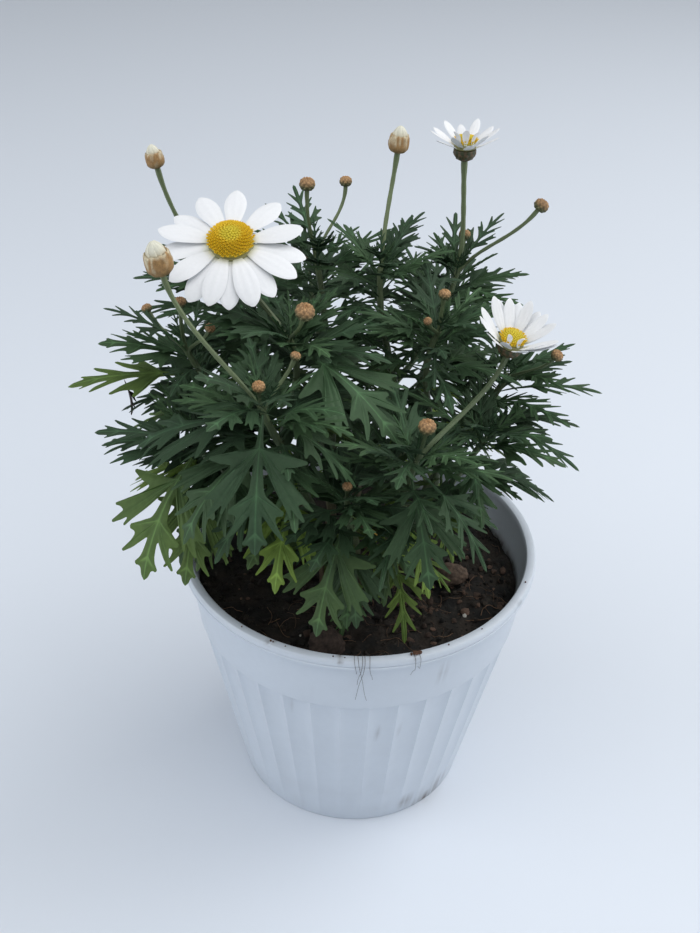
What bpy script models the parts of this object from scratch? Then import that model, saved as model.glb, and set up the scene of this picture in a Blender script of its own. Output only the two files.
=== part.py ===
"""A marguerite daisy growing in a round fluted plastic pot.

Lengths are in metres and angles in degrees. The pot stands on z = 0 with its axis on the z axis, and
the front of the plant faces -y. A bearing is measured round the z axis from +x, so -90 is the front.
"""
import math
from collections import namedtuple
from itertools import product

import bmesh
import bpy
import numpy as np
from mathutils import Vector
from mathutils.bvhtree import BVHTree

for leftover in list(bpy.data.objects):
    bpy.data.objects.remove(leftover)

# Pot: a 16 cm thermoformed pot with a rolled lip and a fluted body
POT_HEIGHT = 0.128
LIP_RADIUS = 0.080
LIP_HEIGHT = 0.0057
MOUTH_RADIUS = 0.0758
BAND_TOP_RADIUS = 0.0770
BAND_BOTTOM_RADIUS = 0.0731
BAND_BOTTOM = 0.0948
BASE_RADIUS = 0.0539
FLUTES = 36
FLUTE_TOP_DEPTH = 0.0018
FLUTE_BASE_DEPTH = 0.0003
FLUTE_PHASE = math.radians(-90 + 180 / FLUTES)
INNER_TOP_RADIUS = 0.0752
INNER_TOP = POT_HEIGHT - LIP_HEIGHT - 0.001
INNER_BAND_RADIUS = 0.0698
INNER_FLOOR_RADIUS = 0.0512
FLOOR_UNDERSIDE = 0.0024
FLOOR_TOP = 0.0044
FOOT_INNER_RADIUS = 0.0470
FOOT_ROUND = 0.0012
PAD_RADIUS = 0.0160
LEDGE_STEP = 0.0004
LIP_ROUND = 0.0010
DRAIN_HOLES = 6
DRAIN_RADIUS = 0.0045
DRAIN_CIRCLE = 0.030

# Soil and what lies on it
SEAT_GAP = 0.0003
SOIL_LEVEL = 0.110
SOIL_ROUGHNESS = 0.0013
SOIL_CROWN_RADIUS = 0.030
SOIL_RINGS = ((0.80, FLUTES), (0.58, FLUTES // 2), (0.36, FLUTES // 2), (0.15, FLUTES // 6))
CLODS = {"soil_clod_right": ((0.0425, -0.0070), 0.0066), "soil_clod_front": ((-0.0135, -0.0560), 0.0080)}
CLOD_ROUGHNESS = 0.14
CLOD_PROPORTIONS = (1.15, 0.95, 0.85)
CLOD_SEAT = 0.55

# Stems. A pull is how far a curve's end heads straight before it bends
STEM_DEPTH = 0.014
STEM_FOOT = SOIL_LEVEL + 0.002
STEM_PULL = 0.045
STEM_TIP_PULL = 0.040
FORK_PULL = 0.025
FORK_TIP_PULL = 0.032
STEM_RADIUS = 0.0026
SHOOT_RADIUS = 0.0019
TIP_RADIUS = 0.0012
STALK_RADIUS = 0.0009
STALK_START = 0.95
STALK_POINTS = 4
HOLE_CLEARANCE = 0.0005
HOLE_CUT_HEIGHT = 0.030
FORK = 0.40

# Blades
BLADE_THICKNESS = 0.00066
CLEAR_THICKNESS = 0.0018
LEAF_CLEARANCE = 0.001
ROOT_SHARE = 0.14
LEAF_FOLD = 0.16
LEAF_SAG = 0.5
LEAVES_START = 0.66
LEAVES_SPREAD = 0.33
SWINGS = (0, 9, -9, 18, -18, 28, -28, 40, -40)
LIFTS = (0, 10, -10, 20)
SIZES = (1.0, 0.85, 0.7)

Shoot = namedtuple("Shoot", "stem tip leaves first_bearing size")
Leaf = namedtuple("Leaf", "shoot place bearing rise droop length kind twist")
Head = namedtuple("Head", "kind shoot place axis width")

# Each stem stands in its own hole, and its later shoots fork from its first one
HOLES = {
    "leafy_stem_front_left": (-0.015, -0.013),
    "leafy_stem_front": (-0.001, -0.021),
    "leafy_stem_front_right": (0.014, -0.014),
    "leafy_stem_left": (-0.021, 0.002),
    "leafy_stem_right": (0.021, 0.002),
    "leafy_stem_back_left": (-0.013, 0.016),
    "leafy_stem_back_right": (0.012, 0.015),
    "leafy_stem_back": (0.000, 0.028),
}

SHOOTS = {
    "front_left": Shoot("leafy_stem_front_left", (-0.039, -0.062, 0.238), 3, 20, 0.048),
    "low_left": Shoot("leafy_stem_front_left", (-0.069, -0.037, 0.206), 3, 160, 0.050),
    "front": Shoot("leafy_stem_front", (-0.006, -0.062, 0.197), 3, 200, 0.038),
    "front_right": Shoot("leafy_stem_front_right", (0.020, -0.058, 0.213), 3, 30, 0.048),
    "low_right": Shoot("leafy_stem_front_right", (0.050, -0.022, 0.200), 3, 20, 0.044),
    "left": Shoot("leafy_stem_left", (-0.074, -0.008, 0.231), 4, 100, 0.046),
    "middle": Shoot("leafy_stem_left", (-0.030, -0.026, 0.245), 3, 330, 0.047),
    "right": Shoot("leafy_stem_right", (0.060, 0.006, 0.214), 4, 80, 0.048),
    "middle_right": Shoot("leafy_stem_right", (0.029, -0.002, 0.238), 4, 250, 0.044),
    "back_left": Shoot("leafy_stem_back_left", (-0.023, 0.040, 0.252), 4, 60, 0.046),
    "far_left": Shoot("leafy_stem_back_left", (-0.066, 0.034, 0.240), 5, 140, 0.046),
    "back_right": Shoot("leafy_stem_back_right", (0.039, 0.047, 0.242), 4, 10, 0.046),
    "top": Shoot("leafy_stem_back_right", (0.005, 0.024, 0.254), 4, 200, 0.042),
    "back": Shoot("leafy_stem_back", (-0.026, 0.078, 0.214), 4, 90, 0.048),
    "far_back": Shoot("leafy_stem_back", (0.034, 0.080, 0.204), 4, 40, 0.048),
}

# The leaves that give the plant its outline, each on its shoot at a share of the shoot's length
PLACED_LEAVES = [
    Leaf("front_left", 0.97, -92, -22, 62, 0.056, "broad", 0),
    Leaf("front_left", 0.92, 186, -2, 42, 0.060, "broad", 8),
    Leaf("front_left", 0.86, 216, -12, 52, 0.056, "broad", 10),
    Leaf("front_left", 0.93, -48, -2, 52, 0.043, "middle", -8),
    Leaf("low_left", 0.90, 238, -22, 44, 0.058, "broad", 6),
    Leaf("low_left", 0.80, -104, -34, 46, 0.054, "broad", 0),
    Leaf("low_left", 0.70, 190, -8, 36, 0.052, "broad", 6),
    Leaf("middle", 0.96, -36, -2, 44, 0.058, "broad", -6),
    Leaf("front", 0.86, -112, -36, 42, 0.052, "broad", 0),
    Leaf("front", 0.74, -84, -34, 46, 0.044, "broad", 0),
    Leaf("front", 0.34, -98, -10, 52, 0.036, "middle", 0),
    Leaf("front_right", 0.90, -76, -32, 40, 0.046, "broad", 0),
    Leaf("front_right", 0.95, -42, -12, 44, 0.050, "fine", -6),
    Leaf("front_right", 0.66, -58, -36, 38, 0.042, "middle", 0),
    Leaf("front_right", 0.30, -80, 10, 78, 0.046, "fine", 0),
    Leaf("right", 0.92, 2, 18, 34, 0.046, "fine", 0),
    Leaf("right", 0.80, -24, 6, 44, 0.050, "fine", 0),
    Leaf("left", 0.88, 184, 8, 30, 0.048, "middle", 0),
    Leaf("left", 0.74, 168, 0, 40, 0.050, "broad", 0),
]

# A leaf's rim on one side, from root to tip: across, along and where its vein leaves the rib
RIMS = {
    "broad": [(0.014, 0.00, 0.00), (0.034, 0.27, 0.27), (0.340, 0.31, 0.27), (0.140, 0.385, 0.27),
              (0.345, 0.63, 0.27), (0.300, 0.77, 0.27), (0.036, 0.395, 0.27), (0.046, 0.58, 0.60),
              (0.190, 0.71, 0.60), (0.112, 0.735, 0.60), (0.195, 0.88, 0.60), (0.042, 0.755, 0.76),
              (0.080, 0.93, 0.76)],
    "middle": [(0.012, 0.00, 0.00), (0.030, 0.32, 0.32), (0.250, 0.50, 0.32), (0.160, 0.51, 0.32),
               (0.215, 0.68, 0.32), (0.034, 0.45, 0.32), (0.155, 0.82, 0.56), (0.034, 0.70, 0.70),
               (0.075, 0.91, 0.70)],
    "fine": [(0.012, 0.00, 0.00), (0.024, 0.34, 0.34), (0.215, 0.56, 0.34), (0.024, 0.46, 0.34),
             (0.170, 0.76, 0.52), (0.022, 0.62, 0.52), (0.105, 0.90, 0.70), (0.022, 0.80, 0.70)],
    "short_petal": [(0.080, 0.00, 0.00), (0.215, 0.45, 0.45), (0.120, 0.95, 0.45)],
    "petal": [(0.075, 0.00, 0.00), (0.170, 0.25, 0.30), (0.228, 0.62, 0.65), (0.200, 0.88, 0.65),
              (0.085, 0.99, 0.65)],
}
RIM_TIPS = {"broad": 1.0, "middle": 1.0, "fine": 1.0, "petal": 0.965, "short_petal": 0.98}

# Flower heads: where the underside of the head sits, the way it faces, and its width
HEADS = {
    "bloom_front": Head("bloom", "middle", (-0.0530, -0.0110, 0.2735), (0.00, -0.39, 0.92), 0.0174),
    "bloom_right": Head("bloom", "front_right", (0.0552, -0.0200, 0.2390), (0.16, -0.16, 0.97), 0.0100),
    "bloom_back": Head("bloom", "back_right", (0.0385, 0.0560, 0.2880), (-0.03, 0.05, 1.00), 0.0095),
    "white_bud_front": Head("white_bud", "front_left", (-0.0757, -0.038, 0.2775), (-0.2, -0.1, 1.0), 0.0106),
    "white_bud_left": Head("white_bud", "far_left", (-0.0880, 0.040, 0.286), (-0.22, 0.05, 0.97), 0.0076),
    "white_bud_top": Head("white_bud", "top", (0.0100, 0.0460, 0.2935), (0.10, 0.05, 0.99), 0.0086),
    "closed_bud_back_left": Head("bud", "back_left", (-0.0265, 0.0360, 0.2805), (0.03, 0.0, 1.0), 0.0066),
    "closed_bud_back_middle": Head("bud", "back_left", (-0.0110, 0.0600, 0.2725), (0.0, 0.1, 1.0), 0.0054),
    "closed_bud_far_right": Head("bud", "back_right", (0.0700, 0.0450, 0.2710), (0.5, 0.0, 0.8), 0.0064),
    "closed_bud_middle": Head("bud", "middle", (-0.0240, -0.0450, 0.2655), (0.2, -0.2, 0.9), 0.0074),
    "closed_bud_front_right": Head("bud", "front_right", (0.0225, -0.063, 0.229), (0.1, -0.1, 1.0), 0.0068),
    "closed_bud_centre": Head("bud", "middle_right", (0.0300, -0.0010, 0.2520), (0.1, 0.0, 1.0), 0.0050),
    "closed_bud_centre_low": Head("bud", "middle_right", (0.0240, -0.011, 0.246), (-0.3, -0.4, 0.9), 0.0036),
    "closed_bud_right": Head("bud", "right", (0.0770, 0.0000, 0.2255), (0.5, -0.1, 0.8), 0.0054),
    "closed_bud_low_middle": Head("bud", "front_left", (-0.0270, -0.051, 0.251), (0.3, 0.1, 0.9), 0.0040),
    "closed_bud_front_left": Head("bud", "front_left", (-0.0390, -0.065, 0.246), (0.0, -0.3, 1.0), 0.0050),
    "closed_bud_left": Head("bud", "left", (-0.0620, -0.0190, 0.2440), (0.3, -0.3, 0.9), 0.0042),
    "closed_bud_left_high": Head("bud", "left", (-0.0740, -0.0110, 0.2500), (0.0, 0.0, 1.0), 0.0050),
    "closed_bud_far_left": Head("bud", "left", (-0.0890, 0.0030, 0.2395), (-0.5, 0.2, 0.9), 0.0044),
    "closed_bud_back_right": Head("bud", "back_right", (0.0410, 0.0550, 0.2520), (0.1, 0.3, 1.0), 0.0052),
    "closed_bud_front": Head("bud", "front", (-0.0060, -0.0650, 0.2030), (0.0, -0.2, 1.0), 0.0040),
    "closed_bud_back": Head("bud", "back", (-0.0270, 0.0850, 0.2230), (0.0, 0.3, 1.0), 0.0052),
}

# Petals of each bloom: bearings round the head with the layer of each, their size and how they are held
FRONT_BEARINGS = [89, 50, 15, -6, -29, -51, -69, -88, -104, -121, -141, -172, 170, 148, 121]
FRONT_LAYERS = [0, 0, 0, 1, 0, 1, 0, 1, 0, 1, 0, 1, 0, 1, 0]
Petals = namedtuple("Petals", "kind bearings layers length rise droop front_droop")
PETALS = {
    "bloom_front": Petals("petal", FRONT_BEARINGS, FRONT_LAYERS, 0.0205, 6, 10, 26),
    "bloom_right": Petals("short_petal", [k * 30 + 8 for k in range(12)], [k % 2 for k in range(12)],
                          0.0128, 42, -6, 0),
    "bloom_back": Petals("short_petal", [k * 30 + 5 for k in range(12)], [k % 2 for k in range(12)],
                         0.0115, 26, 0, 0),
}
FLORETS = {"bloom_front": 42, "bloom_right": 20, "bloom_back": 14}
DISC_RISE = {"bloom_front": 0.30, "bloom_right": 0.22, "bloom_back": 0.25}
DISC_EDGE = 0.0006
FLORET_SPREAD = 0.93
FLORET_HEIGHT = 0.0007
FLORET_VALLEY = 0.0003
PETAL_FOLD = -0.02
PETAL_SAG = 0.3
LAYER_RISE = 5
PLATE_THICKNESS = 0.0022
PLATE_EDGE = 0.0016
ROOT_RING = 0.0007
LAYER_STEP = 0.0008
CUP_HEIGHT = 0.0042
BUD_SWELL = 0.07
GOLDEN_ANGLE = math.radians(137.508)
UPWARD = np.array([0.0, 0.0, 1.0])

COLOURS = {
    "pot": ((0.72, 0.76, 0.82), 0.42),
    "soil": ((0.020, 0.017, 0.013), 0.95),
    "clod": ((0.085, 0.060, 0.042), 0.95),
    "foliage": ((0.045, 0.085, 0.045), 0.60),
    "petal": ((0.86, 0.87, 0.90), 0.55),
    "disc": ((0.50, 0.29, 0.012), 0.75),
    "bud": ((0.26, 0.13, 0.055), 0.70),
    "bud_tip": ((0.74, 0.74, 0.66), 0.60),
}


def material(name):
    """A plain finish with its own colour and roughness."""
    finish = bpy.data.materials.new(name)
    finish.use_nodes = True
    shader = finish.node_tree.nodes["Principled BSDF"]
    colour, roughness = COLOURS[name]
    shader.inputs["Base Color"].default_value = (*colour, 1.0)
    shader.inputs["Roughness"].default_value = roughness
    shader.inputs["Metallic"].default_value = 0.0
    return finish


def add_object(name, shape, finish, sharp=40):
    """An object from points and faces, shaded smooth up to the given angle."""
    points, faces = shape
    mesh = bpy.data.meshes.new(name)
    mesh.from_pydata([tuple(p) for p in points], [], faces)
    mesh.update()
    mesh.shade_smooth()
    mesh.set_sharp_from_angle(angle=math.radians(sharp))
    mesh.materials.append(finish)
    thing = bpy.data.objects.new(name, mesh)
    bpy.context.scene.collection.objects.link(thing)
    return thing


def unit(vector):
    """The vector at length one."""
    vector = np.asarray(vector, dtype=float)
    return vector / np.linalg.norm(vector)


def circle(radius, height, count, phase=0.0):
    """Points round the z axis, anticlockwise from above."""
    turn = phase + np.arange(count) * 2 * math.pi / count
    return np.column_stack([radius * np.cos(turn), radius * np.sin(turn), np.full(count, height)])


def span(low, high):
    """Faces between two rings of point numbers, where one may have a multiple of the other's points."""
    faces = []
    flip = len(low) > len(high)
    few, many = (high, low) if flip else (low, high)
    share = len(many) // len(few)
    if len(few) == 1:
        faces = [(few[0], many[(j + 1) % len(many)], many[j]) for j in range(len(many))]
    elif share == 1:
        count = len(few)
        return [(few[i], few[(i + 1) % count], many[(i + 1) % count], many[i]) for i in range(count)]
    else:
        for i in range(len(few)):
            here, following = few[i], few[(i + 1) % len(few)]
            half = (share + 1) // 2
            faces.append((here, following, many[i * share + half]))
            for j in range(share):
                corner = here if j < half else following
                faces.append((corner, many[(i * share + j + 1) % len(many)], many[i * share + j]))
    return [tuple(reversed(face)) for face in faces] if flip else faces


def loft(rings):
    """A closed shape through rings of points, each anticlockwise seen from where the rings lead."""
    points = np.concatenate(rings)
    starts = np.cumsum([0] + [len(ring) for ring in rings])
    numbers = [list(range(starts[i], starts[i + 1])) for i in range(len(rings))]
    faces = []
    for low, high in zip(numbers, numbers[1:]):
        faces += span(low, high)
    if len(numbers[0]) > 2:
        faces.append(tuple(reversed(numbers[0])))
    if len(numbers[-1]) > 2:
        faces.append(tuple(numbers[-1]))
    return points, faces


def upright(direction):
    """Two directions square to the given one and to each other."""
    ahead = unit(direction)
    helper = np.array([0.0, 0.0, 1.0]) if abs(ahead[2]) < 0.9 else np.array([0.0, -1.0, 0.0])
    right = unit(np.cross(helper, ahead))
    return right, np.cross(ahead, right)


def turned(place, axis, profile, sides, swell=0.0):
    """A shape turned round an axis from (radius, height) points. Swell lifts every second point."""
    right, back = upright(axis)
    ahead = unit(axis)
    rings = []
    for number, (radius, height) in enumerate(profile):
        if radius == 0:
            rings.append(np.array([np.asarray(place) + height * ahead]))
            continue
        turn = np.arange(sides) * 2 * math.pi / sides
        relief = swell if 0 < number < len(profile) - 1 else 0.0
        reach = radius * (1 + relief * (-1.0) ** (np.arange(sides) + number))
        ring = (np.asarray(place) + height * ahead + np.outer(reach * np.cos(turn), right)
                + np.outer(reach * np.sin(turn), back))
        rings.append(ring)
    return loft(rings)


def bezier(start, start_pull, end_pull, end, count):
    """Points along a cubic curve."""
    t = np.linspace(0, 1, count)[:, None]
    a, b, c, d = (np.asarray(p, dtype=float) for p in (start, start_pull, end_pull, end))
    return (1 - t) ** 3 * a + 3 * t * (1 - t) ** 2 * b + 3 * t ** 2 * (1 - t) * c + t ** 3 * d


def tube(path, radii, sides, end_direction=None):
    """A closed round rod along a path. Its end may be cut square to a given direction."""
    tangents = np.gradient(path, axis=0)
    if end_direction is not None:
        tangents[-1] = end_direction
    right, back = upright(tangents[0])
    rings = []
    for point, tangent, radius in zip(path, tangents, radii):
        ahead = unit(tangent)
        right = unit(right - np.dot(right, ahead) * ahead)
        back = np.cross(ahead, right)
        turn = np.arange(sides) * 2 * math.pi / sides
        rings.append(point + radius * (np.outer(np.cos(turn), right) + np.outer(np.sin(turn), back)))
    return loft(rings)


def point_along(path, share):
    """The point and direction at a share of a path's length."""
    steps = np.linalg.norm(np.diff(path, axis=0), axis=1)
    reach = np.concatenate([[0], np.cumsum(steps)])
    goal = share * reach[-1]
    point = np.array([np.interp(goal, reach, path[:, k]) for k in range(3)])
    i = min(int(np.searchsorted(reach, goal, side="right")) - 1, len(steps) - 1)
    return point, unit(path[i + 1] - path[i])


def arched(root, forward, up, length, rise, droop, across, along, lift, fold=0.0, sag=0.0, twist=0.0):
    """World points of a blade that leaves its root at `rise` degrees and bends down by `droop` degrees.

    The rib is an arc of a circle. Across and along are shares of the length, and lift is metres off the
    middle surface. Fold raises both halves from the rib, and sag bends them down with the square.
    """
    start = math.radians(rise)
    bend = math.radians(droop if abs(droop) > 0.5 else 0.5)
    slope = start - bend * along
    level = length * (math.sin(start) - np.sin(slope)) / bend
    height = length * (np.cos(slope) - math.cos(start)) / bend
    side = np.cross(forward, up)
    normal = np.outer(-np.sin(slope), forward) + np.outer(np.cos(slope), up)
    turn = math.radians(twist) * along
    lateral = np.outer(np.cos(turn), side) + np.sin(turn)[:, None] * normal
    normal = np.cos(turn)[:, None] * normal - np.outer(np.sin(turn), side)
    offset = length * (fold * np.abs(across) - sag * across ** 2) + lift
    return (np.asarray(root) + np.outer(level, forward) + np.outer(height, up)
            + (across * length)[:, None] * lateral + offset[:, None] * normal)


def blade(kind, thickness, from_share=0.0):
    """A flat blade's corners (across, along, lift) and its faces.

    Its two rims are joined to points on the rib where their veins leave it, alike on both faces.
    """
    rim = [(x, max(y, from_share), max(foot, from_share)) for x, y, foot in RIMS[kind]]
    feet = sorted({foot for _, _, foot in rim})
    tip = RIM_TIPS[kind]
    flat = [(0.0, foot) for foot in feet] + [(0.0, tip)]
    tip_number = len(feet)
    right = [len(flat) + i for i in range(len(rim))]
    flat += [(x, y) for x, y, _ in rim]
    left = [len(flat) + i for i in range(len(rim))]
    flat += [(-x, y) for x, y, _ in rim]
    faces = []
    for numbers, mirrored in ((right, False), (left, True)):
        ribs = [feet.index(foot) for _, _, foot in rim] + [tip_number]
        outer = numbers + [tip_number]
        for i in range(len(rim)):
            rib, here, following, next_rib = ribs[i], outer[i], outer[i + 1], ribs[i + 1]
            (x1, y1), (x2, y2) = np.abs(flat[here]), np.abs(flat[following])
            opens = x1 * (y2 - flat[rib][1]) > x2 * (y1 - flat[rib][1])
            if opens:
                pair = [(rib, here, following), (rib, following, next_rib)]
            else:
                pair = [(rib, here, next_rib), (next_rib, here, following)]
            for face in pair:
                if len(set(face)) == 3:
                    faces.append(tuple(reversed(face)) if mirrored else face)
    count = len(flat)
    boundary = [0] + right + [tip_number] + left[::-1]
    faces = faces + [tuple(count + v for v in reversed(face)) for face in faces]
    for here, following in zip(boundary, boundary[1:] + boundary[:1]):
        faces.append((here, count + here, count + following))
        faces.append((here, count + following, following))
    flat = np.array(flat + flat)
    lift = np.where(np.arange(2 * count) < count, thickness / 2, -thickness / 2)
    return flat[:, 0], flat[:, 1], lift, faces


def leaf_shape(leaf, paths, thickness, from_share=0.0):
    """The solid of one leaf, with its root sunk into its shoot."""
    root, _ = point_along(paths[leaf.shoot], leaf.place)
    turn = math.radians(leaf.bearing)
    forward = np.array([math.cos(turn), math.sin(turn), 0.0])
    across, along, lift, faces = blade(leaf.kind, thickness, from_share)
    points = arched(root, forward, UPWARD, leaf.length, leaf.rise, leaf.droop, across, along, lift,
                    fold=LEAF_FOLD, sag=LEAF_SAG, twist=leaf.twist)
    return points, faces


def tree_of(shape):
    """A search tree of a shape's faces."""
    return BVHTree.FromPolygons([Vector(p) for p in shape[0]], shape[1])


class Space:
    """What is already placed, so that a new leaf can be held clear of it."""

    def __init__(self):
        self.things = []

    def add(self, node, shape):
        points = np.asarray(shape[0])
        self.things.append((node, points.min(axis=0), points.max(axis=0), tree_of(shape)))

    def is_clear(self, shape, keep):
        points = np.asarray(shape[0])
        low, high = points.min(axis=0), points.max(axis=0)
        tree = tree_of(shape)
        for node, other_low, other_high, other in self.things:
            if not keep(node) or np.any(low > other_high) or np.any(high < other_low):
                continue
            if tree.overlap(other):
                return False
        return True


def shoot_paths():
    """The centre line of each shoot, from its hole or its fork to its tip."""
    paths = {}
    leaders = {}
    for name, shoot in SHOOTS.items():
        tip = np.array(shoot.tip)
        outward = unit((tip[0], tip[1], 0.0))
        if shoot.stem not in leaders:
            start = np.array([*HOLES[shoot.stem], STEM_FOOT])
            below = start - STEM_DEPTH * UPWARD
            pull = start + STEM_PULL * UPWARD
            end_pull = tip - STEM_TIP_PULL * unit(0.45 * outward + UPWARD)
            paths[name] = np.concatenate([[below], bezier(start, pull, end_pull, tip, 7)])
            leaders[shoot.stem] = name
        else:
            start, heading = point_along(paths[leaders[shoot.stem]], FORK)
            pull = start + FORK_PULL * unit(heading + 0.8 * outward)
            end_pull = tip - FORK_TIP_PULL * unit(0.5 * outward + UPWARD)
            paths[name] = bezier(start, pull, end_pull, tip, 6)
    return paths


def stalk_path(head, paths):
    """The centre line of a flower stalk, from near its shoot's tip to the underside of its head."""
    start, heading = point_along(paths[head.shoot], STALK_START)
    end = np.array(head.place)
    reach = np.linalg.norm(end - start)
    pull = start + 0.35 * reach * heading
    end_pull = end - 0.4 * reach * unit(head.axis)
    return bezier(start, pull, end_pull, end, STALK_POINTS)


def ruled_leaves(name, shoot):
    """Leaves up a shoot, each turned by the golden angle from the last, shorter and steeper to the tip."""
    outward = math.degrees(math.atan2(shoot.tip[1], shoot.tip[0]))
    leaves = []
    for i in range(shoot.leaves):
        share = i / max(shoot.leaves - 1, 1)
        bearing = shoot.first_bearing + math.degrees(GOLDEN_ANGLE) * i
        facing = math.cos(math.radians(bearing - outward))
        length = shoot.size * (1.08 - 0.30 * share) * (0.90 + 0.14 * facing)
        rise = 8 + 42 * share - 8 * facing
        droop = 52 - 22 * share
        kind = "fine" if share > 0.60 else "broad" if share < 0.2 and facing > 0 else "middle"
        place = LEAVES_START + LEAVES_SPREAD * share
        leaves.append(Leaf(name, place, bearing, rise, droop, length, kind, 6 * math.sin(2.4 * i)))
    return leaves


def place_leaves(paths, space):
    """Every leaf that finds room. A blocked leaf is swung, lifted or shortened, and is left out at last."""
    wanted = list(PLACED_LEAVES)
    for name, shoot in SHOOTS.items():
        wanted += ruled_leaves(name, shoot)
    placed = []
    for leaf in wanted:
        stem = SHOOTS[leaf.shoot].stem
        for size, lift, swing in product(SIZES, LIFTS, SWINGS):
            tried = leaf._replace(bearing=leaf.bearing + swing, rise=leaf.rise + lift,
                                  length=leaf.length * size)
            whole = leaf_shape(tried, paths, CLEAR_THICKNESS)
            if not space.is_clear(whole, lambda node: node != stem):
                continue
            outer = leaf_shape(tried, paths, CLEAR_THICKNESS, ROOT_SHARE)
            if space.is_clear(outer, lambda node: node == stem):
                placed.append(tried)
                space.add(stem, whole)
                break
    return placed


def fuse(name, shapes, finish):
    """One body from closed shapes that grow out of each other."""
    body = add_object(name, shapes[0], finish)
    growths = bpy.data.collections.new(name + "_growths")
    bpy.context.scene.collection.children.link(growths)
    for number, shape in enumerate(shapes[1:]):
        growth = add_object(f"{name}_growth_{number}", shape, finish)
        bpy.context.scene.collection.objects.unlink(growth)
        growths.objects.link(growth)
    union = body.modifiers.new("Grown together", "BOOLEAN")
    union.operation = "UNION"
    union.operand_type = "COLLECTION"
    union.collection = growths
    union.solver = "EXACT"
    graph = bpy.context.evaluated_depsgraph_get()
    joined = bpy.data.meshes.new_from_object(body.evaluated_get(graph))
    body.modifiers.clear()
    body.data = joined
    for growth in list(growths.objects):
        bpy.data.objects.remove(growth)
    bpy.data.collections.remove(growths)
    keep_largest(joined)
    joined.shade_smooth()
    joined.set_sharp_from_angle(angle=math.radians(40))
    return body


def keep_largest(mesh):
    """Drop loose scraps that a union leaves, and keep the body with the most faces."""
    shape = bmesh.new()
    shape.from_mesh(mesh)
    bmesh.ops.triangulate(shape, faces=shape.faces)
    unseen = set(shape.verts)
    bodies = []
    while unseen:
        waiting = [next(iter(unseen))]
        unseen.discard(waiting[0])
        body = []
        while waiting:
            vertex = waiting.pop()
            body.append(vertex)
            for edge in vertex.link_edges:
                other = edge.other_vert(vertex)
                if other in unseen:
                    unseen.discard(other)
                    waiting.append(other)
        bodies.append(body)
    bodies.sort(key=len)
    scraps = [vertex for body in bodies[:-1] for vertex in body]
    bmesh.ops.delete(shape, geom=scraps, context="VERTS")
    shape.to_mesh(mesh)
    shape.free()


def cut(thing, cutter_shape, finish):
    """Take a cutter's volume out of a thing."""
    cutter = add_object(thing.name + "_cutter", cutter_shape, finish)
    cutter.hide_render = True
    cutter.display_type = "WIRE"
    hole = thing.modifiers.new("Holes", "BOOLEAN")
    hole.operation = "DIFFERENCE"
    hole.solver = "EXACT"
    hole.object = cutter


def several(shapes):
    """Separate closed shapes in one list of points and faces."""
    points = []
    faces = []
    for shape_points, shape_faces in shapes:
        first = sum(len(p) for p in points)
        points.append(np.asarray(shape_points))
        faces += [tuple(first + v for v in face) for face in shape_faces]
    return np.concatenate(points), faces


def fluted_ring(height):
    """A ring of the fluted wall: hollow scallops between sharp ridges, shallow at the base."""
    share = height / BAND_BOTTOM
    ridge = BASE_RADIUS + (BAND_BOTTOM_RADIUS - BASE_RADIUS) * share
    depth = FLUTE_BASE_DEPTH + (FLUTE_TOP_DEPTH - FLUTE_BASE_DEPTH) * share
    hollow = np.tile([0.0, 1.0, 1.0], FLUTES)
    ring = circle(1.0, height, len(hollow), FLUTE_PHASE)
    ring[:, :2] *= (ridge - depth * hollow)[:, None]
    return ring


def make_pot(finish):
    """The pot: centre pad, foot, fluted wall, ledge, plain band, rolled lip, inside and drained floor."""
    lip_low = POT_HEIGHT - LIP_HEIGHT
    fine = FLUTES * 2
    phase = FLUTE_PHASE
    rings = [
        np.array([[0, 0, 0]]),
        circle(PAD_RADIUS, 0, FLUTES, phase),
        circle(PAD_RADIUS + FOOT_ROUND, FLOOR_UNDERSIDE, FLUTES, phase),
        circle(FOOT_INNER_RADIUS - FOOT_ROUND, FLOOR_UNDERSIDE, FLUTES, phase),
        circle(FOOT_INNER_RADIUS, 0, FLUTES, phase),
        circle(BASE_RADIUS - FOOT_ROUND, 0, FLUTES, phase),
        fluted_ring(FOOT_ROUND),
        fluted_ring(BAND_BOTTOM - LEDGE_STEP),
        circle(BAND_BOTTOM_RADIUS, BAND_BOTTOM, FLUTES, phase),
        circle(BAND_TOP_RADIUS, lip_low, FLUTES, phase),
        circle(LIP_RADIUS, lip_low + LIP_ROUND, fine, phase),
        circle(LIP_RADIUS - LIP_ROUND / 2, POT_HEIGHT - LIP_ROUND, fine, phase),
        circle(LIP_RADIUS - 2 * LIP_ROUND, POT_HEIGHT, fine, phase),
        circle(MOUTH_RADIUS, POT_HEIGHT - LIP_ROUND / 2, FLUTES, phase),
        circle(INNER_TOP_RADIUS, INNER_TOP, FLUTES, phase),
        circle(INNER_BAND_RADIUS, BAND_BOTTOM, FLUTES, phase),
        circle(INNER_FLOOR_RADIUS, FLOOR_TOP, FLUTES, phase),
        np.array([[0, 0, FLOOR_TOP]]),
    ]
    pot = add_object("pot", loft(rings), finish, sharp=30)
    drains = []
    for k in range(DRAIN_HOLES):
        turn = k * 2 * math.pi / DRAIN_HOLES
        place = (DRAIN_CIRCLE * math.cos(turn), DRAIN_CIRCLE * math.sin(turn), FLOOR_UNDERSIDE)
        drains.append(turned(place, UPWARD, [(DRAIN_RADIUS, -FLOOR_TOP), (DRAIN_RADIUS, FLOOR_TOP)], 8))
    cut(pot, several(drains), finish)
    return pot


def inner_radius(height):
    """The pot's inner radius at a height."""
    heights = [FLOOR_TOP, BAND_BOTTOM, INNER_TOP]
    return float(np.interp(height, heights, [INNER_FLOOR_RADIUS, INNER_BAND_RADIUS, INNER_TOP_RADIUS]))


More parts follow.
